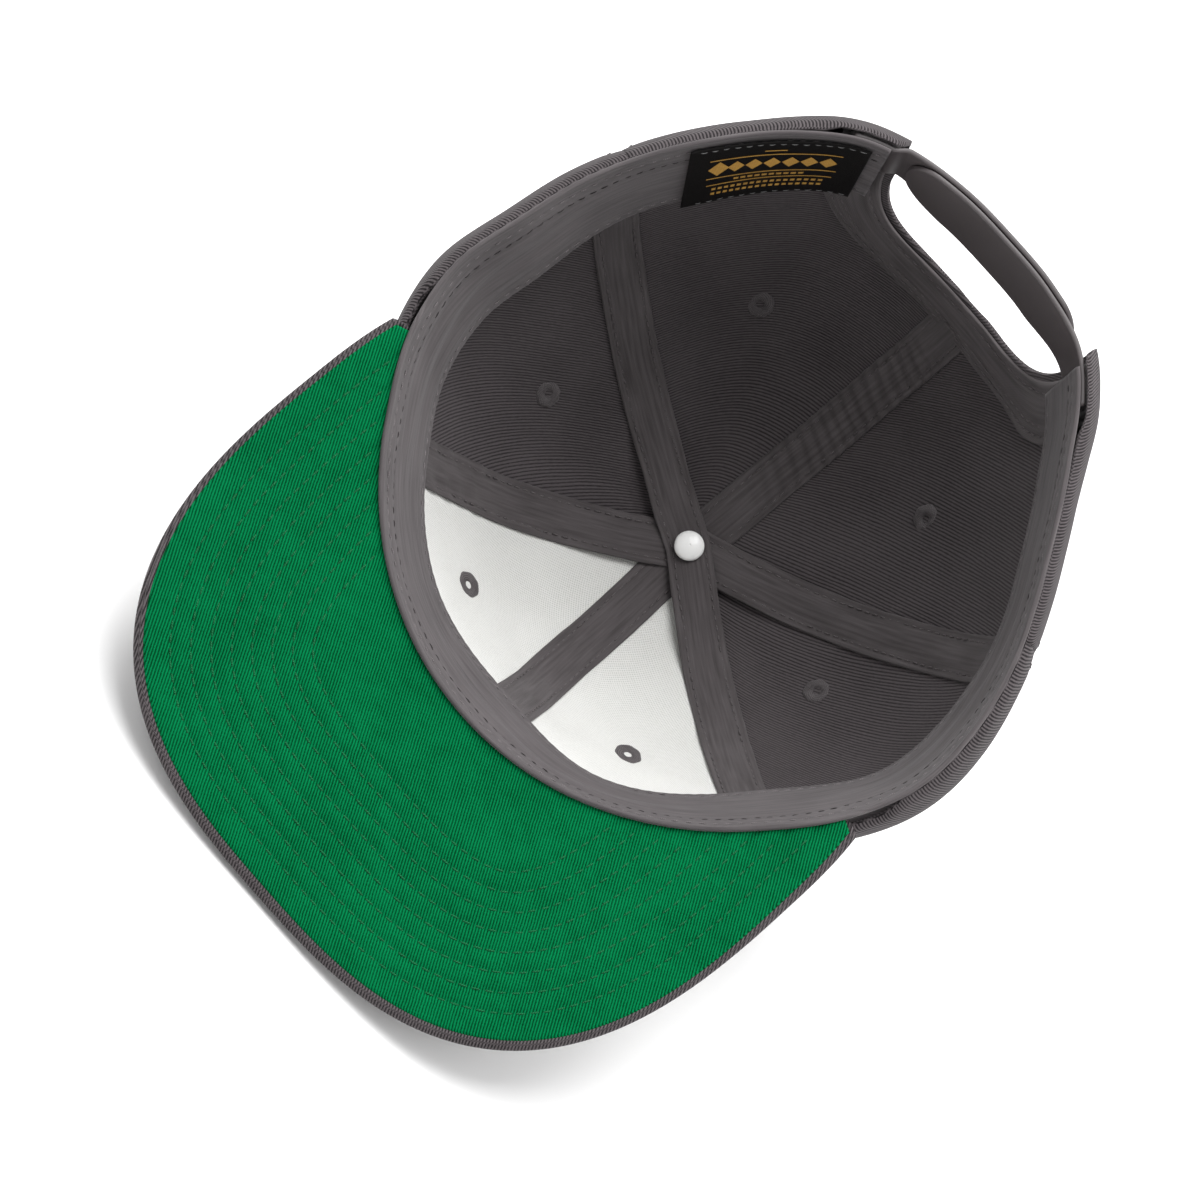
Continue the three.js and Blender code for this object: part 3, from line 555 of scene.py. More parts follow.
STITCH_SIDES = 6
STITCH_SHARES = np.array([0, 0.1, 0.28, 0.5, 0.72, 0.9, 1])
STITCH_THICKNESS = np.array([0.3, 0.8, 1, 1.05, 1, 0.8, 0.3])
STITCH_SCATTER = 0.05


def stitches(name, runs, thread=0.26, length=2.5, gap=0.75):
    """One mesh of stitches along runs of (points, normals)."""
    starts, ends, normals = [], [], []
    for points, run_normals in runs:
        lengths = along(points)
        count = int(lengths[-1] // (length + gap))
        at = np.arange(count) * (length + gap) + gap / 2
        starts.append(sample(at, lengths, points))
        ends.append(sample(at + length, lengths, points))
        normals.append(sample(at + length / 2, lengths, run_normals))
    a = np.concatenate(starts)
    b = np.concatenate(ends)
    normal = unit(np.concatenate(normals))
    a += random.normal(0, STITCH_SCATTER, a.shape)
    b += random.normal(0, STITCH_SCATTER, b.shape)
    forward = unit(b - a)
    across = unit(np.cross(forward, normal))
    lift = thread * (1.5 * np.sin(math.pi * STITCH_SHARES) ** 0.6 - 0.9)
    centres = a[:, None] + (b - a)[:, None] * STITCH_SHARES[:, None] + normal[:, None] * lift[:, None]
    turns = np.arange(STITCH_SIDES) / STITCH_SIDES * 2 * math.pi
    ring = np.cos(turns)[:, None] * across[:, None] + 0.8 * np.sin(turns)[:, None] * normal[:, None]
    points = centres[:, :, None] + ring[:, None] * (thread * STITCH_THICKNESS)[:, None, None]
    quads, places = grid_quads(len(STITCH_SHARES), STITCH_SIDES, True)
    per_stitch = len(STITCH_SHARES) * STITCH_SIDES
    shifts = (np.arange(len(a)) * per_stitch)[:, None, None]
    u, v = np.meshgrid(STITCH_SHARES * 1000, np.arange(STITCH_SIDES + 1) * thread, indexing="ij")
    uv = np.stack([u.ravel(), v.ravel()], 1)[places]
    all_quads = (quads[None] + shifts).reshape(-1, 4)
    return build_mesh(name, points.reshape(-1, 3), all_quads[:, ::-1], np.tile(uv, (len(a), 1, 1)))


# Materials

class Cloth:
    """A small helper that joins shader nodes for one material."""

    def __init__(self, name):
        self.material = bpy.data.materials.new(name)
        self.material.use_nodes = True
        self.tree = self.material.node_tree
        self.shader = self.tree.nodes["Principled BSDF"]
        self.uv = self.node("ShaderNodeUVMap")
        self.uv.uv_map = "weave"
        split = self.node("ShaderNodeSeparateXYZ")
        self.join(self.uv.outputs["UV"], split.inputs[0])
        self.u = split.outputs["X"]
        self.v = split.outputs["Y"]
        self.place = self.node("ShaderNodeTexCoord").outputs["Object"]

    def node(self, kind):
        return self.tree.nodes.new(kind)

    def join(self, source, target):
        if isinstance(source, (int, float)):
            target.default_value = source
        else:
            self.tree.links.new(source, target)

    def math(self, operation, *values):
        node = self.node("ShaderNodeMath")
        node.operation = operation
        for value, socket in zip(values, node.inputs):
            self.join(value, socket)
        return node.outputs[0]

    def total(self, first, *others):
        for other in others:
            first = self.math("ADD", first, other)
        return first

    def about_zero(self, value, size):
        """A value from 0 to 1, spread evenly about zero."""
        return self.math("MULTIPLY_ADD", value, size, -size / 2)

    def noise(self, scale, detail=2.0, place=None):
        node = self.node("ShaderNodeTexNoise")
        node.inputs["Scale"].default_value = scale
        node.inputs["Detail"].default_value = detail
        self.join(place or self.place, node.inputs["Vector"])
        return node.outputs["Fac"]

    def streaks(self, along_u, along_v, detail=3.0):
        """Noise drawn out along the cloth: the two values are its scales along u and v."""
        place = self.node("ShaderNodeCombineXYZ")
        self.join(self.math("MULTIPLY", self.u, along_u), place.inputs[0])
        self.join(self.math("MULTIPLY", self.v, along_v), place.inputs[1])
        return self.noise(1.0, detail, place.outputs[0])

    def wave(self, across_u, across_v, pitch, shift=0.0):
        """A wave from 0 to 1 over the cloth; the direction's shares say how it crosses u and v."""
        turn = 2 * math.pi / pitch
        first = self.math("MULTIPLY", self.u, across_u * turn)
        phase = self.math("MULTIPLY_ADD", self.v, across_v * turn, first)
        wave = self.math("SINE", self.math("ADD", phase, shift))
        return self.math("MULTIPLY_ADD", wave, 0.5, 0.5)

    def blend(self, share, low, high):
        node = self.node("ShaderNodeMix")
        node.data_type = "RGBA"
        self.join(share, node.inputs["Factor"])
        for colour, socket in ((low, node.inputs["A"]), (high, node.inputs["B"])):
            if isinstance(colour, tuple):
                socket.default_value = (*colour, 1)
            else:
                self.join(colour, socket)
        return node.outputs["Result"]

    def finish(self, colour, height, bump, depth, roughness, sheen=0.0, specular=0.3):
        if isinstance(colour, tuple):
            self.shader.inputs["Base Color"].default_value = (*colour, 1)
        else:
            self.join(colour, self.shader.inputs["Base Color"])
        self.shader.inputs["Roughness"].default_value = roughness
        self.shader.inputs["Sheen Weight"].default_value = sheen
        self.shader.inputs["Sheen Roughness"].default_value = 0.5
        self.shader.inputs["Specular IOR Level"].default_value = specular
        node = self.node("ShaderNodeBump")
        node.inputs["Strength"].default_value = bump
        node.inputs["Distance"].default_value = depth
        self.join(height, node.inputs["Height"])
        self.join(node.outputs["Normal"], self.shader.inputs["Normal"])
        return self.material


BEAD_SHARE = 0.14


def twill(name, low, high, pitch=0.00062, angle=62, contrast=1.0, bump=0.5, sheen=0.12, specular=0.2):
    """Twill: slanting ribs, each broken up by the threads that cross it."""
    cloth = Cloth(name)
    turn = math.radians(angle)
    wobble = cloth.math("MULTIPLY", cloth.noise(420, 1.0), 2.2)
    rib = cloth.wave(-math.sin(turn), math.cos(turn), pitch, wobble)
    bead = cloth.wave(math.cos(turn), math.sin(turn), pitch * 1.2, cloth.math("MULTIPLY", rib, 3.4))
    height = cloth.math("MULTIPLY_ADD", bead, BEAD_SHARE, cloth.math("MULTIPLY", rib, 1 - BEAD_SHARE))
    patches = cloth.about_zero(cloth.noise(55, 4.0), 0.4)
    streaks = cloth.streaks(260 * abs(math.cos(turn)) + 40, 260 * abs(math.sin(turn)) + 40)
    slubs = cloth.about_zero(streaks, 0.4)
    specks = cloth.about_zero(cloth.noise(2400, 1.0), 0.6)
    ribs = cloth.math("MULTIPLY_ADD", height, contrast, 0.5 - 0.5 * contrast)
    colour = cloth.blend(cloth.total(ribs, patches, slubs, specks), low, high)
    return cloth.finish(colour, height, bump, 0.0002, 0.92, sheen=sheen, specular=specular)


def ribbed(name, low, high, pitch=0.00088, bump=0.6):
    """The back of the twill: long fine ribs along u with narrow dark gaps."""
    cloth = Cloth(name)
    sway = cloth.math("MULTIPLY", cloth.streaks(60, 300), 5.0)
    rib = cloth.math("POWER", cloth.wave(0, 1, pitch, sway), 0.55)
    threads = cloth.about_zero(cloth.streaks(700, 5000, 2.0), 0.9)
    patches = cloth.about_zero(cloth.noise(45, 3.0), 0.5)
    colour = cloth.blend(cloth.total(rib, threads, patches), low, high)
    return cloth.finish(colour, rib, bump, 0.0002, 0.92, sheen=0.08, specular=0.15)


def plain(name, low, high, pitch=0.0005, bump=0.3):
    """Fine plain weave with soft streaks along its length."""
    cloth = Cloth(name)
    along_u = cloth.wave(1, 0, pitch)
    along_v = cloth.wave(0, 1, pitch)
    both = cloth.math("MULTIPLY", along_u, along_v)
    between_u = cloth.math("SUBTRACT", 1.0, along_u)
    between_v = cloth.math("SUBTRACT", 1.0, along_v)
    height = cloth.total(both, cloth.math("MULTIPLY", between_u, between_v))
    streaks = cloth.about_zero(cloth.streaks(55, 1100, 4.0), 1.6)
    patches = cloth.about_zero(cloth.noise(70, 4.0), 0.5)
    weave = cloth.math("MULTIPLY_ADD", height, 0.4, 0.3)
    colour = cloth.blend(cloth.total(weave, patches, streaks), low, high)
    relief = cloth.math("MULTIPLY_ADD", height, 0.5, streaks)
    return cloth.finish(colour, relief, bump, 0.00014, 0.9, sheen=0.1, specular=0.2)


def buckram(name, low, high, pitch=0.00075):
    """Stiff backing: an open grid of yarns at a slant over white twill."""
    cloth = Cloth(name)
    wobble = cloth.math("MULTIPLY", cloth.noise(300, 1.0), 2.0)
    one = cloth.wave(0.8, 0.6, pitch, wobble)
    two = cloth.wave(-0.6, 0.8, pitch, wobble)
    height = cloth.math("MAXIMUM", cloth.math("POWER", one, 1.5), cloth.math("POWER", two, 1.5))
    holes = cloth.noise(1500, 2.0)
    patches = cloth.math("MULTIPLY_ADD", cloth.noise(40, 3.0), 0.6, -0.1)
    yarns = cloth.math("MULTIPLY", height, 0.7)
    share = cloth.total(yarns, cloth.math("MULTIPLY_ADD", holes, 0.5, patches))
    colour = cloth.blend(share, low, high)
    return cloth.finish(colour, height, 0.45, 0.00018, 0.9, sheen=0.05, specular=0.25)


def thread(name, low, high):
    """Twisted thread."""
    cloth = Cloth(name)
    twist = cloth.wave(0.75, 0.65, 0.00042)
    share = cloth.total(twist, cloth.about_zero(cloth.noise(900, 1.0), 0.6))
    colour = cloth.blend(share, low, high)
    return cloth.finish(colour, twist, 0.5, 0.0001, 0.7, sheen=0.1, specular=0.35)


def stitch_thread(name, low, high):
    """Thread of a stitch, with painted shade where it dips into the cloth at both ends."""
    cloth = Cloth(name)
    twist = cloth.wave(1, 180, 0.2)
    from_middle = cloth.math("ABSOLUTE", cloth.math("MULTIPLY_ADD", cloth.u, 2.0, -1.0))
    # Painted shade: each stitch's colour goes nearly black towards both ends, where the thread sinks into
    # the cloth.
    ends = cloth.math("POWER", from_middle, 5.0)
    share = cloth.total(twist, cloth.about_zero(cloth.noise(900, 1.0), 0.6))
    colour = cloth.blend(ends, cloth.blend(share, low, high), tuple(part * 0.12 for part in low))
    return cloth.finish(colour, twist, 0.4, 0.0001, 0.75, sheen=0.0, specular=0.2)


def satin(name, low, high):
    """Woven satin: long fine threads along the label with a soft shine."""
    cloth = Cloth(name)
    fine = cloth.wave(0, 1, 0.00028)
    broken = cloth.wave(0.4, 1, 0.00075, cloth.math("MULTIPLY", cloth.noise(800, 1.0), 4.0))
    height = cloth.math("MULTIPLY_ADD", broken, 0.4, cloth.math("MULTIPLY", fine, 0.6))
    colour = cloth.blend(height, low, high)
    return cloth.finish(colour, height, 0.35, 0.0001, 0.6, sheen=0.0, specular=0.15)


def moulded(name, low, high, roughness):
    """Moulded or painted material with a very fine grain."""
    cloth = Cloth(name)
    grain = cloth.noise(1800, 2.0)
    colour = cloth.blend(cloth.noise(60, 3.0), low, high)
    return cloth.finish(colour, grain, 0.12, 0.00008, roughness, specular=0.5)


CHARCOAL_TWILL = twill(
    "charcoal twill", (0.012, 0.01, 0.011), (0.098, 0.086, 0.09),
    pitch=0.00078, contrast=1.3, sheen=0.04,
)
CHARCOAL_INSIDE = ribbed("charcoal ribs inside", (0.02, 0.017, 0.018), (0.092, 0.081, 0.085))
GREEN_TWILL = twill(
    "green twill", (0.0002, 0.034, 0.009), (0.001, 0.168, 0.055),
    pitch=0.00074, angle=59, contrast=1.1, sheen=0.0, specular=0.02,
)
WHITE_TWILL = twill(
    "white twill", (0.52, 0.52, 0.5), (0.74, 0.74, 0.72),
    pitch=0.00072, angle=66, contrast=0.8,
)
BUCKRAM = buckram("white buckram", (0.38, 0.38, 0.36), (0.72, 0.72, 0.7), pitch=0.0007)
TAPE_CLOTH = plain("charcoal tape", (0.048, 0.042, 0.043), (0.108, 0.097, 0.1))
BAND_CLOTH = plain("charcoal band", (0.05, 0.044, 0.046), (0.11, 0.099, 0.102))
LABEL_SATIN = satin("black label", (0.0012, 0.001, 0.001), (0.006, 0.005, 0.005))
CHARCOAL_THREAD = stitch_thread("charcoal thread", (0.075, 0.067, 0.068), (0.16, 0.144, 0.148))
GREY_THREAD = stitch_thread("grey thread", (0.11, 0.1, 0.103), (0.21, 0.19, 0.195))
DARK_THREAD = stitch_thread("dark thread", (0.03, 0.026, 0.027), (0.07, 0.062, 0.064))
GREEN_THREAD = stitch_thread("green thread", (0.0004, 0.06, 0.018), (0.002, 0.15, 0.05))
WHITE_THREAD = stitch_thread("white thread", (0.45, 0.45, 0.43), (0.7, 0.7, 0.68))
LABEL_THREAD = stitch_thread("label thread", (0.1, 0.1, 0.1), (0.22, 0.22, 0.22))
GOLD_THREAD = thread("gold thread", (0.24, 0.11, 0.008), (0.6, 0.33, 0.04))
EYELET_THREAD = thread("eyelet thread", (0.05, 0.044, 0.046), (0.12, 0.107, 0.111))
STRAP_PLASTIC = moulded("charcoal plastic", (0.055, 0.047, 0.048), (0.072, 0.062, 0.064), 0.42)
WHITE_ENAMEL = moulded("white enamel", (0.95, 0.95, 0.94), (0.98, 0.98, 0.97), 0.25)


def piece(obj, material, node=None):
    """Gives a mesh its material, hangs it on the root body, and hides the solid it stands for."""
    obj.data.materials.clear()
    obj.data.materials.append(material)
    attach(obj, "root")
    if node:
        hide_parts(node)


def sewn(name, runs, material, slot, **sizes):
    """Rows of stitches as one piece."""
    piece(stitches(name, runs, **sizes), material)


# Crown panels

PANEL_ROWS = 74
PANEL_COLUMNS = 68
SEAM_ANGLES = np.array(list(SEAMS.values()), float)
TOPSTITCH = 3.0
TOPSTITCH_DIP = 0.16
TOPSTITCH_DIP_WIDTH = 0.55
SEAM_CREASE = 0.25
SEAM_CREASE_WIDTH = 0.8
CLOSED_SEAM = 0.02
HEM_COLUMNS = 40
EDGE_COLUMNS = 45
PANEL_MIDDLE_RADIUS = 60
CROWN_MIDDLE = np.array([0, 0, 30.0])
FACING_IN = -0.15
STIFFNESS = {"white": 0.1, "charcoal": 0.24}
ROUND_TURNS = np.radians([90, 68, 45, 22])


def seam_distance(azimuth, radius):
    turns = np.abs(signed(np.asarray(azimuth)[..., None] - SEAM_ANGLES))
    return np.radians(turns.min(-1)) * np.abs(radius)


def seam_share(t):
    """The seams' valleys grow from the hem up."""
    return 0.15 + 0.85 * smooth_step(1, 3.2, t)


def cloth_swell(azimuth, t, stiffness):
    """Slow dips and swells of the cloth, none at the hem and the seams."""
    turn = np.radians(azimuth)
    waves = np.sin(5 * turn + 1.1 * t + 0.4) + 0.8 * np.sin(9 * turn - 1.7 * t + 2.1)
    waves = waves + 0.6 * np.sin(14 * turn + 2.6 * t)
    radius, _ = crown_outside(azimuth, t)
    away = smooth_step(3, 16, seam_distance(azimuth, radius)) * smooth_step(1, 3.5, t)
    return waves * away * stiffness


def arch_point(turn, away):
    """The opening's edge seen from behind: a turn of 0 to 180 runs from right to left."""
    turn = np.radians(turn)

    def corner(value):
        return np.sign(value) * np.abs(value) ** (2 / ARCH_SQUARENESS)

    def slope(value):
        return np.sign(value) * np.abs(value) ** (ARCH_SQUARENESS - 1)

    share = np.stack([corner(np.cos(turn)), corner(np.sin(turn))], -1)
    out = unit(np.stack([slope(share[..., 0]) / ARCH_HALF_WIDTH, slope(share[..., 1]) / ARCH_HEIGHT], -1))
    return share * np.array([ARCH_HALF_WIDTH, ARCH_HEIGHT]) + out * np.asarray(away)[..., None]


def back_azimuth(x, z, depth):
    """Azimuth from the front at which the back of the crown is at x, on the wearer's right."""
    t = turn_at_height(z)

    def past(azimuth):
        radius = crown_outside(azimuth, t)[0] - depth
        return x - radius * np.sin(np.radians(azimuth))

    return solve(past, np.full(np.shape(x), 100.0), np.full(np.shape(x), 190.0))


def foot_line(first, last, is_back):
    """Azimuth and height of a panel's lower edge, from its first seam to its last."""
    if not is_back:
        azimuth = np.linspace(first, last, PANEL_COLUMNS)
        return azimuth, np.maximum(hem_bottom(azimuth), 0), azimuth
    is_right = first + last < 360
    seam = first if is_right else 360 - last
    middle = last if is_right else 360 - first
    hem = np.linspace(seam, ARCH_EDGE, HEM_COLUMNS)
    turns = np.linspace(0, 110, 300)
    edge = arch_point(turns, np.zeros(turns.shape))
    edge = edge[edge[:, 0] > RIM_BACK_REACH * math.sin(math.radians(middle))]
    lengths = along(edge)
    x, z = sample(np.linspace(0, lengths[-1], EDGE_COLUMNS + 1)[1:], lengths, edge).T
    azimuth = np.concatenate([hem, back_azimuth(x, z, 0)])
    azimuth[-1] = middle
    height = np.concatenate([np.zeros(HEM_COLUMNS), z])
    last_column = HEM_COLUMNS + EDGE_COLUMNS - 1
    top_share = np.interp(np.arange(last_column + 1), [0, 34, 60, last_column], [0, 0.52, 0.8, 1])
    top = mix(seam, middle, top_share)
    if is_right:
        return azimuth, height, top
    return 360 - azimuth[::-1], height[::-1], 360 - top[::-1]


def wall_thickness(azimuth, t):
    """The wall of a panel, thicker at the hem, and filled up beside the roots of the straps."""
    past_root = smooth_step(180 - STRAP_ROOT - 5, 180 - STRAP_ROOT - 2, np.abs(signed(azimuth)))
    filled = TAB_SWELL * tab_share(azimuth) * (1 - past_root)
    return inside_depth(azimuth, np.maximum(t, 1.0)) + filled * (1 - smooth_step(1, 3, t))


def panel_mesh(name, first, last, cloth, ribs):
    is_back = name.startswith("back")
    foot_azimuth, foot_height, top_azimuth = foot_line(first, last, is_back)
    foot_arc = arc_at_turn(turn_at_height(foot_height))
    hole_arc = arc_at_turn(turn_at_radius(top_azimuth, np.full(top_azimuth.shape, CROWN_HOLE_RADIUS)))
    length = np.hypot(hole_arc - foot_arc, np.radians(top_azimuth - foot_azimuth) * PANEL_MIDDLE_RADIUS)
    foot_wall = wall_thickness(foot_azimuth, turn_at_height(foot_height))
    start = (foot_wall / 2 / length)[:, None]
    regular = np.linspace(0, 1, PANEL_ROWS)
    shares = np.concatenate([start * (1 - np.sin(ROUND_TURNS)), start + (1 - start) * regular**1.08], 1)
    azimuth = foot_azimuth[:, None] + (top_azimuth - foot_azimuth)[:, None] * shares
    arc = foot_arc[:, None] + (hole_arc - foot_arc)[:, None] * shares
    t = turn_at_arc(arc)
    radius, _ = crown_outside(azimuth, t)
    gap = np.degrees(CLOSED_SEAM / np.maximum(radius, 3))
    azimuth[0] += gap[0]
    azimuth[-1] -= gap[-1]
    inner_wall = wall_thickness(azimuth, t)
    edge = np.ones(shares.shape[1])
    edge[: len(ROUND_TURNS)] = np.cos(ROUND_TURNS)
    distance = seam_distance(azimuth, radius)
    swell = cloth_swell(azimuth, t, STIFFNESS[cloth])
    valley = SEAM_DIP * ridge(distance, SEAM_DIP_WIDTH) + SEAM_CREASE * ridge(distance, SEAM_CREASE_WIDTH)
    rows = TOPSTITCH_DIP * ridge(distance - TOPSTITCH, TOPSTITCH_DIP_WIDTH)
    dent = (valley + rows) * seam_share(t)
    outer_depth = inner_wall / 2 - (inner_wall / 2 - dent) * edge + swell
    inner_depth = inner_wall / 2 + inner_wall / 2 * edge + swell
    outer = settle(crown_point(azimuth, t, outer_depth), 0)
    inner = settle(crown_point(azimuth, t, inner_depth), CLOTH_WALL)
    middle = (first + last) / 2
    u = np.radians(azimuth - middle) * radius
    points = np.concatenate([outer[:, ::-1], inner], 1)
    turn = math.radians(ribs)
    inner_u = u * math.cos(turn) + arc * math.sin(turn)
    inner_v = arc * math.cos(turn) - u * math.sin(turn)
    loop_u = np.concatenate([u[:, ::-1], inner_u, inner_u[:, -1:]], 1)
    loop_v = np.concatenate([arc[:, ::-1], inner_v, inner_v[:, -1:]], 1)
    return loop_body(name, points, loop_u, loop_v)


def two_sided(obj, inside):
    """The faces on the cap's inside get a second material."""
    obj.data.materials.append(inside)
    mesh = obj.data
    centres = np.zeros(len(mesh.polygons) * 3)
    normals = np.zeros(len(mesh.polygons) * 3)
    mesh.polygons.foreach_get("center", centres)
    mesh.polygons.foreach_get("normal", normals)
    centres = (centres.reshape(-1, 3) * 1000 - REST_PLACE) @ REST_MATRIX
    normals = normals.reshape(-1, 3) @ REST_MATRIX
    from_middle = unit(centres - CROWN_MIDDLE)
    faces_in = (from_middle * normals).sum(1) < FACING_IN
    mesh.polygons.foreach_set("material_index", faces_in.astype(np.int32))


for name, first, last, cloth, _, _, ribs in PANELS:
    start = SEAMS[first]
    end = SEAMS[last] if SEAMS[last] > start else SEAMS[last] + 360
    panel = panel_mesh(name, start, end, cloth, ribs)
    is_white = cloth == "white"
    outside, inside = (WHITE_TWILL, BUCKRAM) if is_white else (CHARCOAL_TWILL, CHARCOAL_INSIDE)
    piece(panel, outside, name)
    two_sided(panel, inside)


def crown_normal(azimuth, t):
    return unit(crown_point(azimuth, t, -1.0) - crown_point(azimuth, t, 1.0))


# The rows that lie on white cloth: seam, and the side of it towards the wearer's left or right
WHITE_ROWS = {("front", -1), ("front", 1), ("right_front", -1), ("left_front", 1)}


def seam_stitch_runs():
    """Two rows of stitches on the outside, beside each seam: those on white cloth, then the others."""
    white_runs, dark_runs = [], []
    for name, seam in SEAMS.items():
        for side in (-1, 1):
            foot = ARCH_HEIGHT + 2.5 if name == "back" else max(float(hem_bottom(seam)), 0) + 5
            t = turn_at_arc(np.linspace(arc_at_turn(turn_at_height(foot)), arc_at_turn(11.0), 240))
            radius, _ = crown_outside(np.full(t.shape, seam), t)
            azimuth = seam + side * np.degrees(TOPSTITCH / radius)
            dent = (SEAM_DIP * ridge(TOPSTITCH, SEAM_DIP_WIDTH) + TOPSTITCH_DIP) * seam_share(t)
            points = settle(crown_point(azimuth, t, dent - 0.05), 0.42)
            runs = white_runs if (name, side) in WHITE_ROWS else dark_runs
            runs.append((points, crown_normal(azimuth, t)))
    return white_runs, dark_runs


white_runs, dark_runs = seam_stitch_runs()
sewn("seam_stitches_white", white_runs, WHITE_THREAD, "white_cloth")
sewn("seam_stitches_charcoal", dark_runs, CHARCOAL_THREAD, "charcoal_twill")


# Eyelets: satin stitch in a ring, on both faces of the cloth

EYELET_THREADS = 46
EYELET_HOLE_MARGIN = 0.25
EYELET_LEAN = 0.05
EYELET_STRETCH = {"white": 0.4, "charcoal": 0.1}


def eyelet_place(azimuth, height_share, cloth):
    t = float(turn_at_height(height_share * CROWN_HEIGHT))
    origin = crown_point(azimuth, t, CLOTH_WALL / 2 + cloth_swell(azimuth, t, STIFFNESS[cloth]))
    return origin, unit(crown_point(azimuth, t, 0.0) - crown_point(azimuth, t, CLOTH_WALL))


def eyelet_mesh(name, origin, direction, stretch):
    """A ring of stitches that leans a little, and is longer up the panel than across it."""
    back_turn = np.array(Vector((0, 0, 1)).rotation_difference(Vector(direction)).to_matrix())
    uphill = unit(np.array([0.0, 0.0, 1.0]) @ back_turn * np.array([1, 1, 0]))
    turns = np.linspace(0, 360, EYELET_THREADS * 4, endpoint=False)
    section = np.linspace(0, 2 * math.pi, 27)[:-1]
    middle = (EYELET_RADIUS + EYELET_HOLE) / 2
    half = (EYELET_RADIUS - EYELET_HOLE) / 2
    high = CLOTH_WALL / 2 + EYELET_FLANGE * 0.85
    across = np.sign(np.cos(section)) * np.abs(np.cos(section)) ** 0.95
    up = np.sign(np.sin(section)) * np.abs(np.sin(section)) ** 0.8
    radius = middle + half * across
    threads = 0.09 * np.cos(np.radians(turns) * EYELET_THREADS)[:, None] * np.abs(np.sin(section))[None]
    uneven = 0.12 * np.sin(np.radians(turns) * 7 + 1)[:, None] * np.clip(across, 0, 1)[None]
    z = high * up[None] + threads * np.sign(up)[None]
    points = polar(radius[None] + uneven, turns[:, None], z)
    points = points + (points @ uphill)[..., None] * uphill * stretch
    points[..., 2] -= (points @ uphill) * EYELET_LEAN
    points = np.concatenate([points, points[:1]], 0)
    v = section_lengths(points)
    u = np.radians(np.append(turns, 360))[:, None] * middle * np.ones(v.shape)
    return loop_body(name, face_along(points, origin, direction), u, v, closed_ends=False)


for name, _, _, cloth, azimuth, height_share, _ in PANELS:
    place, side = name.replace("_panel", "").split("_")
    node = f"eyelet_{place}_{side}"
    origin, direction = eyelet_place(float(azimuth), height_share, cloth)
    stretch = EYELET_STRETCH[cloth]
    piece(eyelet_mesh(node, origin, direction, stretch), EYELET_THREAD, node)
    hole = posts("eyelet_hole", [(origin, direction)], EYELET_HOLE + EYELET_HOLE_MARGIN)
    cut(bpy.data.objects[name], hole)


# Button outside and rivet inside

# The radius at which a turned body closes on its axis
AXIS = 0.01


def dome(radius, base, rim, height, count=14):
    turns = np.linspace(0, math.pi / 2, count)
    return [(radius * math.cos(turn), base + rim + (height - rim) * math.sin(turn)) for turn in turns[:-1]]


BUTTON_BASE = CROWN_HEIGHT + 0.1
button_outline = [(AXIS, BUTTON_BASE), (BUTTON_RADIUS - 0.9, BUTTON_BASE)]
button_outline += [(BUTTON_RADIUS - 0.3, BUTTON_BASE + 0.35)]
button_outline += dome(BUTTON_RADIUS, BUTTON_BASE, 1.4, BUTTON_HEIGHT)
button_outline += [(AXIS, BUTTON_BASE + BUTTON_HEIGHT)]
button = spin("top_button", button_outline, BUTTON_RADIUS)
piece(button, CHARCOAL_TWILL, "top_button")

RIVET_TOP = CROWN_HEIGHT - CLOTH_WALL - 0.45 - 3 * TAPE_LAYER - RIVET_GAP + 0.4
rivet_outline = [(AXIS, RIVET_TOP), (RIVET_RADIUS - 0.25, RIVET_TOP), (RIVET_RADIUS, RIVET_TOP - 0.25)]
rivet_outline += [(r, 2 * RIVET_TOP - z) for r, z in dome(RIVET_RADIUS, RIVET_TOP, 0.6, RIVET_HEIGHT)]
rivet_outline += [(AXIS, RIVET_TOP - RIVET_HEIGHT)]
rivet = spin("button_rivet", rivet_outline, RIVET_RADIUS)
piece(rivet, WHITE_ENAMEL, "button_rivet")


# Seam tapes

TAPE_STATIONS = 120
TAPE_LANES = 17
TAPE_ROW = 4.9
TAPE_CLEAR = 0.15
TAPE_TOP_START = 20
TAPE_TOP_END = 33
TAPE_TOP_LIMIT = 40
TAPE_CLOTH_WALL = 0.75
TAPES = [
    ("seam_tape_front_back", "front", "back", 0, ARCH_HEIGHT + 1 + BINDING_WIDTH - 2),
    ("seam_tape_left_front", "left_front", "right_back", 1, BAND_HEIGHT - TAPE_TUCK),
    ("seam_tape_right_front", "right_front", "left_back", 2, BAND_HEIGHT - TAPE_TUCK),
]


def tape_surface(heading, t, across, depth):
    """A point on a strip along a heading: around the crown's walls and straight across its top."""
    radius, _ = crown_outside(heading, t)
    safe = np.maximum(radius, 1.05 * np.abs(across))
    wall = settle(crown_point(heading + np.degrees(np.arcsin(across / safe)), t, depth), depth)
    turned = heading + np.degrees(np.arctan2(across, radius))
    top_turn = turn_at_radius(turned, np.minimum(np.hypot(radius, across), TAPE_TOP_LIMIT))
    top = crown_point(turned, top_turn, depth)
    share = smooth_step(TAPE_TOP_START, TAPE_TOP_END, radius)[..., None]
    return mix(top, wall, share)


def tape_frames(tape):
    """Headings, crown turns and sides of a tape's stations, from foot to foot over the top."""
    _, first, last, _, last_foot = tape
    first_arc = arc_at_turn(turn_at_height(BAND_HEIGHT - TAPE_TUCK))
    last_arc = arc_at_turn(turn_at_height(last_foot))
    top_arc = float(FINE_ARCS[-1])
    up = turn_at_arc(np.linspace(first_arc, top_arc - 0.7, TAPE_STATIONS))
    down = turn_at_arc(np.linspace(top_arc - 0.7, last_arc, TAPE_STATIONS))
    heading = np.repeat([float(SEAMS[first]), float(SEAMS[last])], TAPE_STATIONS)
    side = np.repeat([1.0, -1.0], TAPE_STATIONS)
    return heading, np.concatenate([up, down]), side


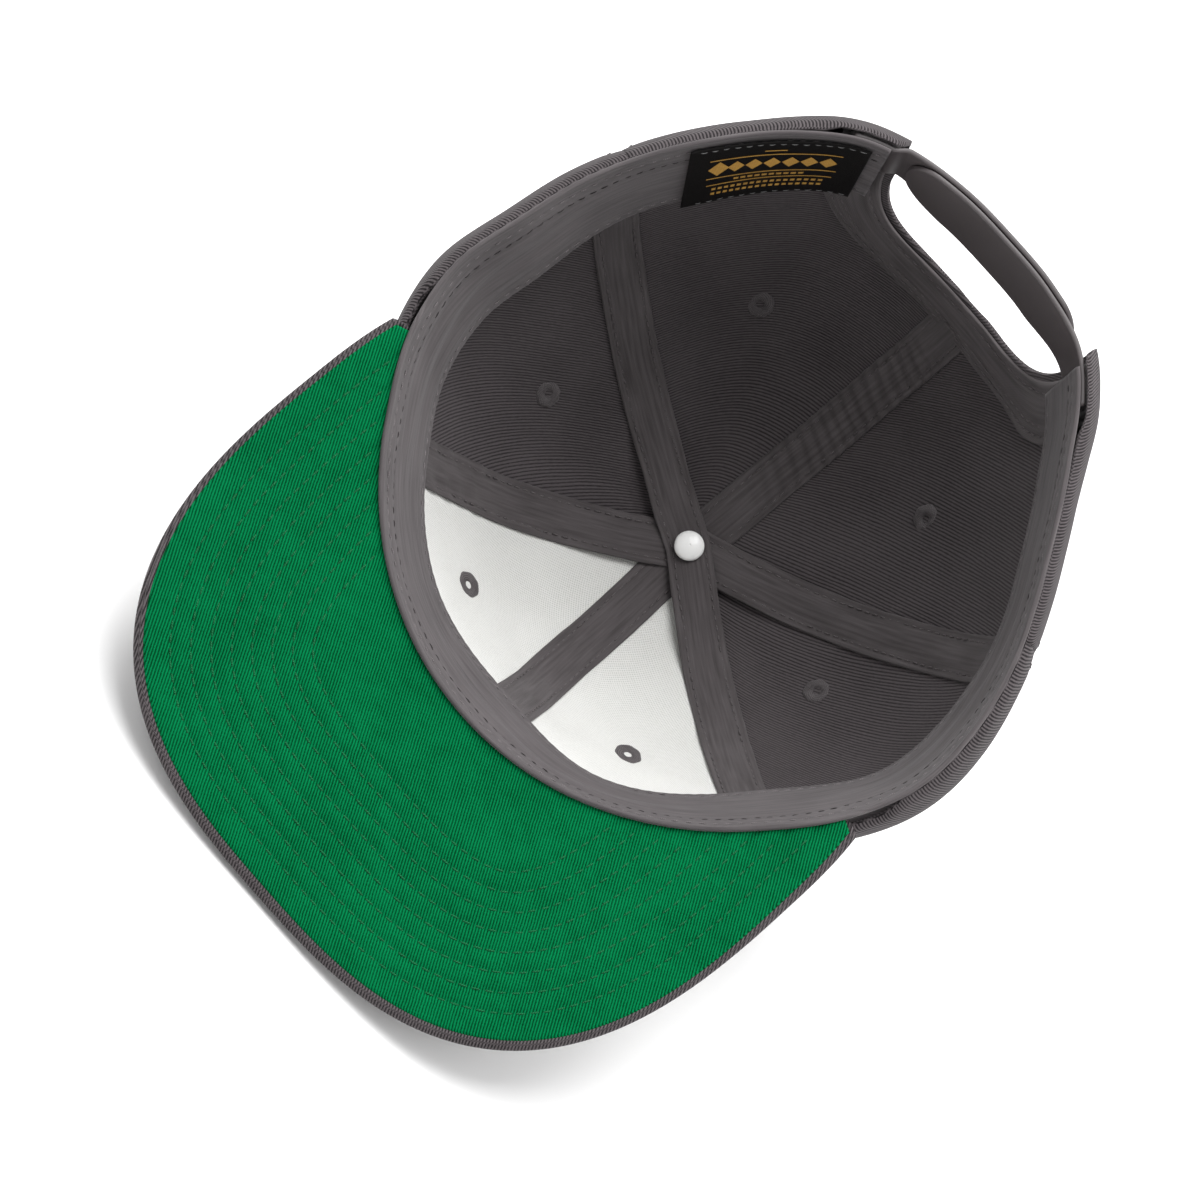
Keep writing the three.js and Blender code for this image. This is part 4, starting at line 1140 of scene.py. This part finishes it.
def tape_points(tape, across, depth):
    """across in millimetres, positive on one and the same side all along the tape."""
    heading, t, side = tape_frames(tape)
    radius, _ = crown_outside(heading, t)
    lift = tape[3] * TAPE_LAYER * (1 - smooth_step(TAPE_LIFT_END, TAPE_LIFT_START, radius))
    lanes = side[:, None] * across[None]
    heading = heading[:, None] + 0 * lanes
    t = t[:, None] + 0 * lanes
    return tape_surface(heading, t, lanes, CLOTH_WALL + 0.05 + lift[:, None] + depth)


def tape_creases(name, s, whole, across):
    """Slanting creases where a tape was stretched: strong at the back, weaker at the left front."""
    if name == "seam_tape_front_back":
        share = smooth_step(0.62, 0.74, s / whole) * (1 - smooth_step(0.9, 0.97, s / whole))
        waves = np.sin(s / 0.72 + across / 1.9 + 1.3 * np.sin(s / 6))
        return 0.5 * share * waves * (1 - (across / TAPE_WIDTH) ** 2)
    if name == "seam_tape_left_front":
        share = 1 - smooth_step(0.22, 0.34, s / whole)
        return 0.22 * share * np.sin(s / 1.5 - across / 1.7 + 1.5 * np.sin(s / 9))
    return 0.1 * np.sin(s / 1.8 + across / 1.5) * np.sin(s / 13) ** 2


def tape_mesh(tape):
    across = np.linspace(-0.5, 0.5, TAPE_LANES) * TAPE_WIDTH
    base = tape_points(tape, across, np.zeros(TAPE_LANES))
    length = along(base[:, TAPE_LANES // 2])
    phase = 2.1 * tape[3]
    s = length[:, None]
    wrinkle = 0.16 * np.sin(s / 2.9 + across / 3 + phase) * np.sin(s / 11 + phase) ** 2
    wrinkle = wrinkle + 0.12 * np.sin(s / 6.3 - across / 2.2 + 1.7 * phase)
    wrinkle = wrinkle + tape_creases(tape[0], s, length[-1], across)
    over_seam = 0.45 * ridge(across, 2.6)
    groove = -0.22 * ridge(np.abs(across) - TAPE_ROW, 0.5)
    puff = 0.12 * np.cos(across / TAPE_WIDTH * math.pi)
    lay = TAPE_CLEAR + over_seam + groove + puff + wrinkle
    sway = 0.18 * np.sin(s / 17 + phase) + 0.1 * np.sin(s / 7 + 2 * phase)
    outer = tape_points(tape, across, lay + TAPE_CLOTH_WALL)
    inner = tape_points(tape, across, lay * 0.4)
    shift = unit(base[:, -1:] - base[:, :1]) * sway[..., None]
    v = np.tile(across, (len(base), 1))
    u = np.tile(s, (1, TAPE_LANES))
    return sheet_body(tape[0], outer + shift, inner + shift, u, v)


def tape_stitch_runs(tape):
    rows = np.array([-TAPE_ROW, TAPE_ROW])
    points = tape_points(tape, rows, np.full(2, TAPE_CLEAR + TAPE_CLOTH_WALL - 0.08))
    deeper = tape_points(tape, rows, np.full(2, 2.0))
    return [(points[2:-2, k], unit(deeper[2:-2, k] - points[2:-2, k])) for k in range(2)]


tape_runs = []
for tape in TAPES:
    piece(tape_mesh(tape), TAPE_CLOTH, tape[0])
    tape_runs += tape_stitch_runs(tape)
sewn("tape_stitches", tape_runs, CHARCOAL_THREAD, "charcoal_lining", thread=0.2, length=2.1, gap=1.0)


# Sweatband and label

BAND_END = ARCH_EDGE - math.degrees(BAND_END_INSET / float(rim_radius(ARCH_EDGE)))
BAND_ROUND = 0.75
BAND_FACE = 1.5
BAND_MEAN_RADIUS = 90
BAND_STITCH_ROWS = (3.4, 7.6, 29.6)


def band_radius(azimuth, z):
    return rim_radius(azimuth) - by_side(BAND_ROWS, azimuth) * np.maximum(z, 0)


def band_bottom(azimuth):
    visor_bottom = hem_bottom(azimuth) - SEAT_GAP - VISOR_THICKNESS
    on_visor = 1 - smooth_step(VISOR_END, VISOR_END + 5, np.abs(signed(azimuth)))
    return mix(0, visor_bottom, on_visor) - BAND_DROP


def band_folds(azimuth, z):
    """Shallow folds along the band, with puckers beside its rows of stitches."""
    turn = np.radians(azimuth)
    drift = 2.2 * np.sin(3 * turn + 1) + 1.2 * np.sin(7 * turn)
    folds = 0.48 * np.sin((z + drift) / 1.75) * smooth_step(6.5, 10, z) * (1 - smooth_step(24, 29, z))
    folds = folds * (0.55 + 0.45 * np.sin(4 * turn + 0.7))
    length = turn * BAND_MEAN_RADIUS
    pucker = sum(ridge(z - row, 1.6) for row in BAND_STITCH_ROWS)
    groove = -0.28 * sum(ridge(z - row, 0.45) for row in BAND_STITCH_ROWS)
    return folds + 0.1 * pucker * np.sin(length / 0.62 + 1.3 * z) + groove


def band_point(azimuth, z, depth):
    return polar(band_radius(azimuth, z) - depth, azimuth, z)


def band_mesh():
    azimuth = np.linspace(-BAND_END, BAND_END, 620)[:, None]
    lanes = np.linspace(0, 1, 44)[None]
    z = mix(band_bottom(azimuth), BAND_HEIGHT - BAND_ROUND, lanes)
    relief = band_folds(azimuth, z)
    inner = band_point(azimuth, z, BAND_FACE + relief)
    outer = band_point(azimuth, z, 0.1 + 0.3 * relief)
    u = np.radians(azimuth) * BAND_MEAN_RADIUS + 0 * z
    return sheet_body("sweatband", inner, outer, u, z)


def band_stitch_runs():
    azimuth = np.linspace(-BAND_END + 0.6, BAND_END - 0.6, 900)
    normals = -polar(np.ones(azimuth.shape), azimuth, 0)
    runs = []
    for row in BAND_STITCH_ROWS:
        z = np.full(azimuth.shape, row) + 0.12 * np.sin(np.radians(azimuth) * 23)
        runs.append((band_point(azimuth, z, BAND_FACE - 0.22), normals))
    return runs


piece(band_mesh(), BAND_CLOTH, "sweatband")
low_run, middle_run, top_run = band_stitch_runs()
light_runs = [low_run, top_run]
sewn("band_stitches_light", light_runs, GREY_THREAD, "charcoal_lining", thread=0.2, length=2.2, gap=1.1)
sewn("band_stitches_dark", [middle_run], DARK_THREAD, "charcoal_lining", thread=0.17, length=2.0, gap=1.3)

LABEL_TURN = math.degrees(LABEL_WIDTH / float(rim_radius(LABEL_CENTRE)))
LABEL_DEPTH = 2.1
LABEL_WALL = 0.45
MARK_HEIGHT = 0.62


def label_point(across, up, depth):
    """A point on the label: across and up from its middle in millimetres."""
    across = np.asarray(across, float)
    azimuth = LABEL_CENTRE + across / LABEL_WIDTH * LABEL_TURN
    z = LABEL_FOOT + LABEL_HEIGHT / 2 + np.asarray(up, float)
    bow = 0.25 * np.cos(across / LABEL_WIDTH * math.pi)
    return band_point(azimuth, z, LABEL_DEPTH + bow + depth)


def label_mesh():
    across = np.linspace(-0.5, 0.5, 60)[:, None] * (LABEL_WIDTH - 0.6)
    up = np.linspace(-0.5, 0.5, 40)[None] * (LABEL_HEIGHT - 0.6)
    across, up = np.broadcast_arrays(across, up)
    outer = label_point(across, up, LABEL_WALL)
    inner = label_point(across, up, 0.0)
    return sheet_body("label", outer, inner, across, up, rounding=3)


def ribbon(corners):
    """A thin raised patch on the label from a grid of (across, up) corners."""
    corners = np.array(corners, float)
    rows, columns = corners.shape[:2]
    points = label_point(corners[..., 0], corners[..., 1], MARK_HEIGHT)
    quads, _ = grid_quads(rows, columns, False)
    return points.reshape(-1, 3), quads, corners.reshape(-1, 2)[quads]


def bar(low, high):
    across = np.linspace(low[0], high[0], max(2, int(abs(high[0] - low[0])) + 1))
    return ribbon([[(x, low[1]), (x, high[1])] for x in across])


def diamond(across, up, size):
    left, right = (across - size, up), (across + size, up)
    top, bottom = (across, up + size * 1.3), (across, up - size * 1.3)
    return ribbon([[left, top], [bottom, right]])


def label_marks():
    """Plain gold lines, diamonds and dashes: the label carries no words."""
    patches = []
    for up, reach in ((-9.6, 18), (0.9, 18), (5.0, 17.5), (-12, 3)):
        patches.append(bar((-reach, up), (reach, up + 0.55)))
    for across in np.arange(-15, 15.1, 5):
        patches.append(diamond(across, -4.2, 3.1 if across == 15 else 2.4))
    for across in np.arange(-9, 9.1, 2):
        patches.append(bar((across - 0.7, 2.7), (across + 0.7, 3.8)))
    for up in (7.2, 10.0):
        for across in np.arange(-15, 15.1, 1.875):
            patches.append(bar((across - 0.6, up), (across + 0.6, up + 1.3)))
    points, quads, uvs = [], [], []
    count = 0
    for patch_points, patch_quads, patch_uvs in patches:
        points.append(patch_points)
        quads.append(patch_quads + count)
        uvs.append(patch_uvs)
        count += len(patch_points)
    return build_mesh("label_lines", np.concatenate(points), np.concatenate(quads), np.concatenate(uvs))


def label_stitch_runs():
    across = np.linspace(-0.5, 0.5, 120) * (LABEL_WIDTH - 1.6)
    runs = []
    for side in (-0.5, 0.5):
        up = np.full(across.shape, side * (LABEL_HEIGHT - 2.4))
        points = label_point(across, up, 0.5)
        runs.append((points, unit(label_point(across, up, 1.5) - points)))
    return runs


piece(label_mesh(), LABEL_SATIN, "label")
piece(label_marks(), GOLD_THREAD)
label_runs = label_stitch_runs()
sewn("label_stitches", label_runs, LABEL_THREAD, "black_satin", thread=0.16, length=1.9, gap=1.1)


# Binding of the back opening

def back_point(x, z, depth):
    azimuth = back_azimuth(np.abs(x), z, depth)
    return crown_point(np.sign(x) * azimuth + (x < 0) * 360, turn_at_height(z), depth)


BINDING_ROWS = (1.8, 8.2, 9.9)
BINDING_FACE = 1.15
OPENING_LIP = 1.5


def binding_grid(turns, lanes, depth):
    edge = arch_point(turns, OPENING_LIP + lanes)
    x = np.where(np.abs(edge[..., 0]) < 0.05, 0.05, edge[..., 0])
    return back_point(x, edge[..., 1], CLOTH_WALL + depth)


def binding_mesh():
    foot = math.degrees(math.asin((BINDING_FOOT / ARCH_HEIGHT) ** (ARCH_SQUARENESS / 2)))
    turns = np.linspace(foot, 180 - foot, 400)
    lengths = along(arch_point(turns, np.zeros(turns.shape)))
    s = np.linspace(0, lengths[-1], 150)[:, None]
    turns = np.interp(s, lengths, turns)
    lanes = np.linspace(0, BINDING_WIDTH, 26)[None]
    turns, lanes = np.broadcast_arrays(turns, lanes)
    groove = -0.25 * sum(ridge(lanes - row, 0.45) for row in BINDING_ROWS)
    relief = groove + 0.2 * np.sin(lanes / BINDING_WIDTH * math.pi) + 0.1 * np.sin(s / 2.3 + lanes)
    inside = binding_grid(turns, lanes, BINDING_FACE + relief)
    against = binding_grid(turns, lanes, 0.1)
    return sheet_body("opening_binding", inside, against, s + 0 * lanes, lanes + 0 * s), turns[:, 0]


def binding_stitch_runs(turns):
    runs = []
    for row in BINDING_ROWS:
        lanes = np.full(turns.shape, row)
        points = binding_grid(turns, lanes, BINDING_FACE - 0.12)
        runs.append((points, unit(binding_grid(turns, lanes, 2.5) - points)))
    return runs


binding, binding_turns = binding_mesh()
piece(binding, TAPE_CLOTH, "opening_binding")
runs = binding_stitch_runs(binding_turns)
sewn("binding_stitches", runs, CHARCOAL_THREAD, "charcoal_lining", thread=0.2, length=2.1, gap=0.9)


# Visor

VISOR_ROW_COUNT = 8
FIRST_ROW = 9.0
ROW_SPACING = 5.0
EDGE_AZIMUTHS = np.linspace(-VISOR_END - 6, VISOR_END + 6, 900)
EDGE_LINE = polar(visor_reach(EDGE_AZIMUTHS), EDGE_AZIMUTHS, 0)[:, :2]
EDGE_TURNS = np.gradient(EDGE_LINE, axis=0)
EDGE_INWARD = unit(np.stack([-EDGE_TURNS[:, 1], EDGE_TURNS[:, 0]], 1))
if (EDGE_INWARD[450] * EDGE_LINE[450]).sum() > 0:
    EDGE_INWARD = -EDGE_INWARD


def edge_distance(points):
    flat = points[..., :2].reshape(-1, 2)
    nearest = np.empty(len(flat))
    for start in range(0, len(flat), 4000):
        block = flat[start:start + 4000]
        nearest[start:start + 4000] = np.sqrt(((block[:, None] - EDGE_LINE[None]) ** 2).sum(-1).min(1))
    return nearest.reshape(points.shape[:-1])


def visor_relief(distance):
    """Grooves along the rows of stitches, with the cloth puffed up between them."""
    rows = FIRST_ROW + ROW_SPACING * np.arange(VISOR_ROW_COUNT)
    groove = sum(ridge(distance - row, 0.55) for row in rows)
    waves = np.sin((distance - FIRST_ROW) / ROW_SPACING * math.pi) ** 2
    between = waves * (distance > FIRST_ROW) * (distance < rows[-1] + ROW_SPACING)
    border = np.sin(np.clip(distance / FIRST_ROW, 0, 1) * math.pi)
    return 0.14 * between + 0.3 * border - 0.3 * groove


def visor_surface(azimuth, radius, above, relief_side):
    flat = polar(radius, azimuth, 0)
    relief = visor_relief(edge_distance(flat)) * relief_side
    flat[..., 2] = visor_level(flat[..., 0], flat[..., 1]) + above + relief
    return flat


VISOR_AZIMUTHS = np.linspace(-VISOR_END, VISOR_END, 230)
HALF = VISOR_THICKNESS / 2
EDGE_ROUND = 1.7
# The cover's hem, which turns under the edge to hold the green cloth: inward, upward
HEM_CORNERS = np.array([(0.0, 0.0), (0.7, -0.02), (1.3, 0.05), (1.6, 0.5)])
SHELF_INSET = 1.7
SHELF_RISE = 1.5
UNDER_CLOTH_WALL = 1.1
UNDER_CLOTH_INSET = 1.35
UNDER_END_INSET = 0.8


def visor_top_mesh():
    azimuth = VISOR_AZIMUTHS[:, None]
    start = rim_radius(azimuth) + SEAT_GAP
    end = visor_reach(azimuth)
    top = np.linspace(0, 1, 84)[None]
    top_points = visor_surface(azimuth, mix(start, end - EDGE_ROUND, top), HALF, 1.0)
    turns = np.linspace(90, -90, 13)[None, 1:-1]
    out = end - EDGE_ROUND + EDGE_ROUND * np.cos(np.radians(turns))
    edge_points = visor_surface(azimuth, out, HALF * np.sin(np.radians(turns)), 0.0)
    hem_points = visor_surface(azimuth, end - EDGE_ROUND - HEM_CORNERS[:, 0], HEM_CORNERS[:, 1] - HALF, 0.0)
    shelf = mix(start, end - EDGE_ROUND - SHELF_INSET, np.linspace(1, 0, 8)[None])
    shelf_points = visor_surface(azimuth, shelf, SHELF_RISE - HALF, 0.0)
    points = np.concatenate([top_points, edge_points, hem_points, shelf_points], 1)
    v = section_lengths(points)
    closed = np.concatenate([points, points[:, :1]], 1)
    underneath = np.where(v > v[:, [top.size + turns.size - 1]], 1, 0)
    return loop_body("visor_top", points, closed[..., 0], closed[..., 1] + underneath * 3.0)


def undervisor_mesh():
    azimuth = VISOR_AZIMUTHS[:, None] * (1 - UNDER_END_INSET / VISOR_END)
    start = rim_radius(azimuth) - 0.4
    end = visor_reach(azimuth) - EDGE_ROUND - UNDER_CLOTH_INSET
    share = np.linspace(0, 1, 96)[None]
    radius = mix(start, end, share)
    outer = visor_surface(azimuth, radius, -HALF, -1.0)
    inner = visor_surface(azimuth, radius, UNDER_CLOTH_WALL - HALF, 0.0)
    return sheet_body("undervisor", outer, inner, outer[..., 0], outer[..., 1], rounding=3)


def visor_stitch_runs(above, side):
    """Rows of stitches parallel to the visor's edge: side is 1 on its top and -1 on its underside."""
    runs = []
    for k in range(VISOR_ROW_COUNT):
        line = EDGE_LINE + EDGE_INWARD * (FIRST_ROW + ROW_SPACING * k)
        azimuth = np.degrees(np.arctan2(line[:, 0], line[:, 1]))
        radius = np.hypot(line[:, 0], line[:, 1])
        past_rim = radius > rim_radius(azimuth) + 1.6
        on_visor = past_rim & (np.abs(azimuth) < VISOR_END - UNDER_END_INSET - 0.6)
        points = visor_surface(azimuth[on_visor], radius[on_visor], above, side)
        normals = np.tile([0.0, 0.0, float(side)], (len(points), 1))
        runs.append((points, normals))
    return runs


piece(visor_top_mesh(), CHARCOAL_TWILL, "visor_top")
piece(undervisor_mesh(), GREEN_TWILL, "undervisor")
sewn("visor_stitches_top", visor_stitch_runs(HALF, 1), CHARCOAL_THREAD, "charcoal_twill")
runs = visor_stitch_runs(-HALF, -1)
sewn("visor_stitches_under", runs, GREEN_THREAD, "green_twill", thread=0.24, length=2.7, gap=0.6)


# Straps

STRAP_LAYER = STRAP_WALL + SEAT_GAP
STRAP_MIDDLE = STRAP_LIFT + STRAP_WIDTH / 2
BACK_RADIUS = float(rim_radius(180.0))
STRAP_STATIONS = 89
STRAP_EDGE = 0.45
STRAP_BORDER = 0.22


def strap_point(turn, z, depth):
    """turn is in degrees from the middle of the back, positive to the wearer's right."""
    azimuth = 180 - turn
    towards_root = smooth_step(0.5 * STRAP_INNER_END, STRAP_INNER_END + STRAP_STEP, np.abs(turn))
    lean = mix(STRAP_LEAN, STRAP_ROOT_LEAN, towards_root)
    return polar(rim_radius(azimuth) + SEAT_GAP - z * np.tan(lean) + depth, azimuth, z)


def outer_layer(turn):
    low = STRAP_INNER_END + STRAP_STEP / 3
    high = STRAP_INNER_END + STRAP_STEP * 1.2
    return STRAP_LAYER * (1 - smooth_step(low, high, -turn))


def strap_section(half_width):
    """Corners of one round long edge of a strap, as (across, depth)."""
    edge = STRAP_EDGE
    flat = half_width - edge
    turns = np.radians([0, 22.5, 45, 67.5, 90])
    shoulder = [(flat + edge * math.sin(a), STRAP_WALL - edge + edge * math.cos(a)) for a in turns]
    foot = [(flat + edge * math.cos(a), edge - edge * math.sin(a)) for a in turns]
    return shoulder + foot


def strap_mesh(name, root, end, layer):
    side = math.copysign(1, root - end)
    per_mm = math.degrees(1 / BACK_RADIUS)
    end_steps = STRAP_END_RADIUS * (1 - np.cos(np.linspace(0.001, math.pi / 2, 16)))
    straight = np.linspace(0, 1, STRAP_STATIONS + 1)[1:]
    rounded = end + side * end_steps * per_mm
    turns = np.concatenate([rounded, mix(rounded[-1], root, straight)])
    steps = np.concatenate([end_steps, np.full(STRAP_STATIONS, STRAP_END_RADIUS)])
    rest = np.maximum(STRAP_END_RADIUS - steps, 0)
    half_widths = STRAP_WIDTH / 2 - STRAP_END_RADIUS + np.sqrt(STRAP_END_RADIUS**2 - rest**2)
    sections, places = [], []
    for turn, half_width, step in zip(turns, half_widths, steps):
        corners = strap_section(half_width)
        border = STRAP_BORDER * min(step / 2, 1)
        face = [(half_width - 1.3, STRAP_WALL), (half_width - 1.7, STRAP_WALL - border)]
        right = corners[::-1] + face
        left = [(-a, d) for a, d in reversed(right)]
        outline = np.array(right + left)
        depth = outline[:, 1] + layer(turn)
        sections.append(strap_point(np.full(len(outline), turn), STRAP_MIDDLE + outline[:, 0], depth))
        places.append(np.append(outline[:, 0], outline[0, 0]))
    points = np.stack(sections)
    v = section_lengths(points)
    u = np.radians(turns)[:, None] * BACK_RADIUS + 0 * v
    return loop_body(name, points, u, v)


def peg_places():
    steps = (np.arange(PEG_COUNT) - (PEG_COUNT - 1) / 2) * PEG_SPACING
    for turn in np.degrees(steps / BACK_RADIUS):
        origin = strap_point(np.array(turn), STRAP_MIDDLE, 0.0)
        direction = unit(strap_point(np.array(turn), STRAP_MIDDLE, 1.0) - origin)
        yield origin, direction


def peg_mesh(name, place):
    base = STRAP_WALL - 0.2
    height = STRAP_LAYER + PEG_REACH
    outline = [(AXIS, base), (PEG_RADIUS + 0.12, base), (PEG_RADIUS, base + 0.4)]
    outline += dome(PEG_RADIUS, base, height - 0.7, height, count=8) + [(AXIS, base + height)]
    return spin(name, outline, PEG_RADIUS, 24, place)


inner_strap = strap_mesh("strap_right", STRAP_ROOT, -STRAP_INNER_END, lambda turn: 0.0)
outer_strap = strap_mesh("strap_left", -STRAP_ROOT, STRAP_OUTER_END, outer_layer)
cut(outer_strap, posts("strap_holes", list(peg_places()), PEG_RADIUS + 0.3))
piece(inner_strap, STRAP_PLASTIC, "strap_right")
piece(outer_strap, STRAP_PLASTIC, "strap_left")
for number, place in enumerate(peg_places(), 1):
    piece(peg_mesh(f"peg_{number}", place), STRAP_PLASTIC)


# Floor, light and camera

FLOOR_SIZE = 6.0
SKY_STRENGTH = 0.52
LIGHT_TARGET = (0, 0, 0.08)
# Lights: name, place in metres, width in metres, power in watts
LIGHTS = [
    ("key light", (-0.2, 0.15, 1.5), 1.2, 30),
    ("left light", (-1.3, 0.5, 1.0), 2.2, 19),
    ("right light", (1.3, 0.6, 1.0), 2.2, 27),
]


def floor_and_backdrop():
    mesh = bpy.data.meshes.new("floor")
    corners = [(x * FLOOR_SIZE, y * FLOOR_SIZE, 0) for x, y in ((-1, -1), (1, -1), (1, 1), (-1, 1))]
    mesh.from_pydata(corners, [], [(0, 1, 2, 3)])
    material = bpy.data.materials.new("pale floor")
    material.use_nodes = True
    shader = material.node_tree.nodes["Principled BSDF"]
    shader.inputs["Base Color"].default_value = (0.92, 0.92, 0.92, 1)
    shader.inputs["Roughness"].default_value = 0.9
    shader.inputs["Specular IOR Level"].default_value = 0.1
    mesh.materials.append(material)
    return add_object("floor", mesh)


def area_light(name, place, width, power):
    """A square soft light that faces the middle of the cap."""
    light = bpy.data.lights.new(name, "AREA")
    light.size = width
    light.energy = power
    obj = add_object(name, light)
    obj.location = place
    obj.rotation_euler = (Vector(LIGHT_TARGET) - Vector(place)).to_track_quat("-Z", "Y").to_euler()


world = bpy.data.worlds.new("soft sky")
bpy.context.scene.world = world
world.use_nodes = True
sky = world.node_tree.nodes["Background"]
sky.inputs["Color"].default_value = (1, 1, 1, 1)
sky.inputs["Strength"].default_value = SKY_STRENGTH

floor_and_backdrop()
for name, place, width, power in LIGHTS:
    area_light(name, place, width, power)

CAMERA_PLACE = (49.15, -767.12, 645.96)
CAMERA_TURN = 3.811
CAMERA_DIP = 37.704
CAMERA_ROLL = 45.94
CAMERA_FOCUS = 3730.9
PHOTO_WIDTH = 1200
SENSOR_WIDTH = 36.0

camera = bpy.data.cameras.new("camera")
camera.sensor_width = SENSOR_WIDTH
camera.lens = CAMERA_FOCUS / PHOTO_WIDTH * SENSOR_WIDTH
camera.clip_end = 50
viewer = add_object("camera", camera)
look = Vector((
    -math.sin(math.radians(CAMERA_TURN)) * math.cos(math.radians(CAMERA_DIP)),
    math.cos(math.radians(CAMERA_TURN)) * math.cos(math.radians(CAMERA_DIP)),
    -math.sin(math.radians(CAMERA_DIP)),
))
level = look.cross(Vector((0, 0, 1))).normalized()
roll = Matrix.Rotation(math.radians(-CAMERA_ROLL), 3, look)
right = roll @ level
up = right.cross(look)
viewer.matrix_world = Matrix.Translation(Vector(CAMERA_PLACE) / 1000) @ Matrix(
    (right, up, -look)
).transposed().to_4x4()
bpy.context.scene.camera = viewer
bpy.context.scene.view_settings.view_transform = "Standard"
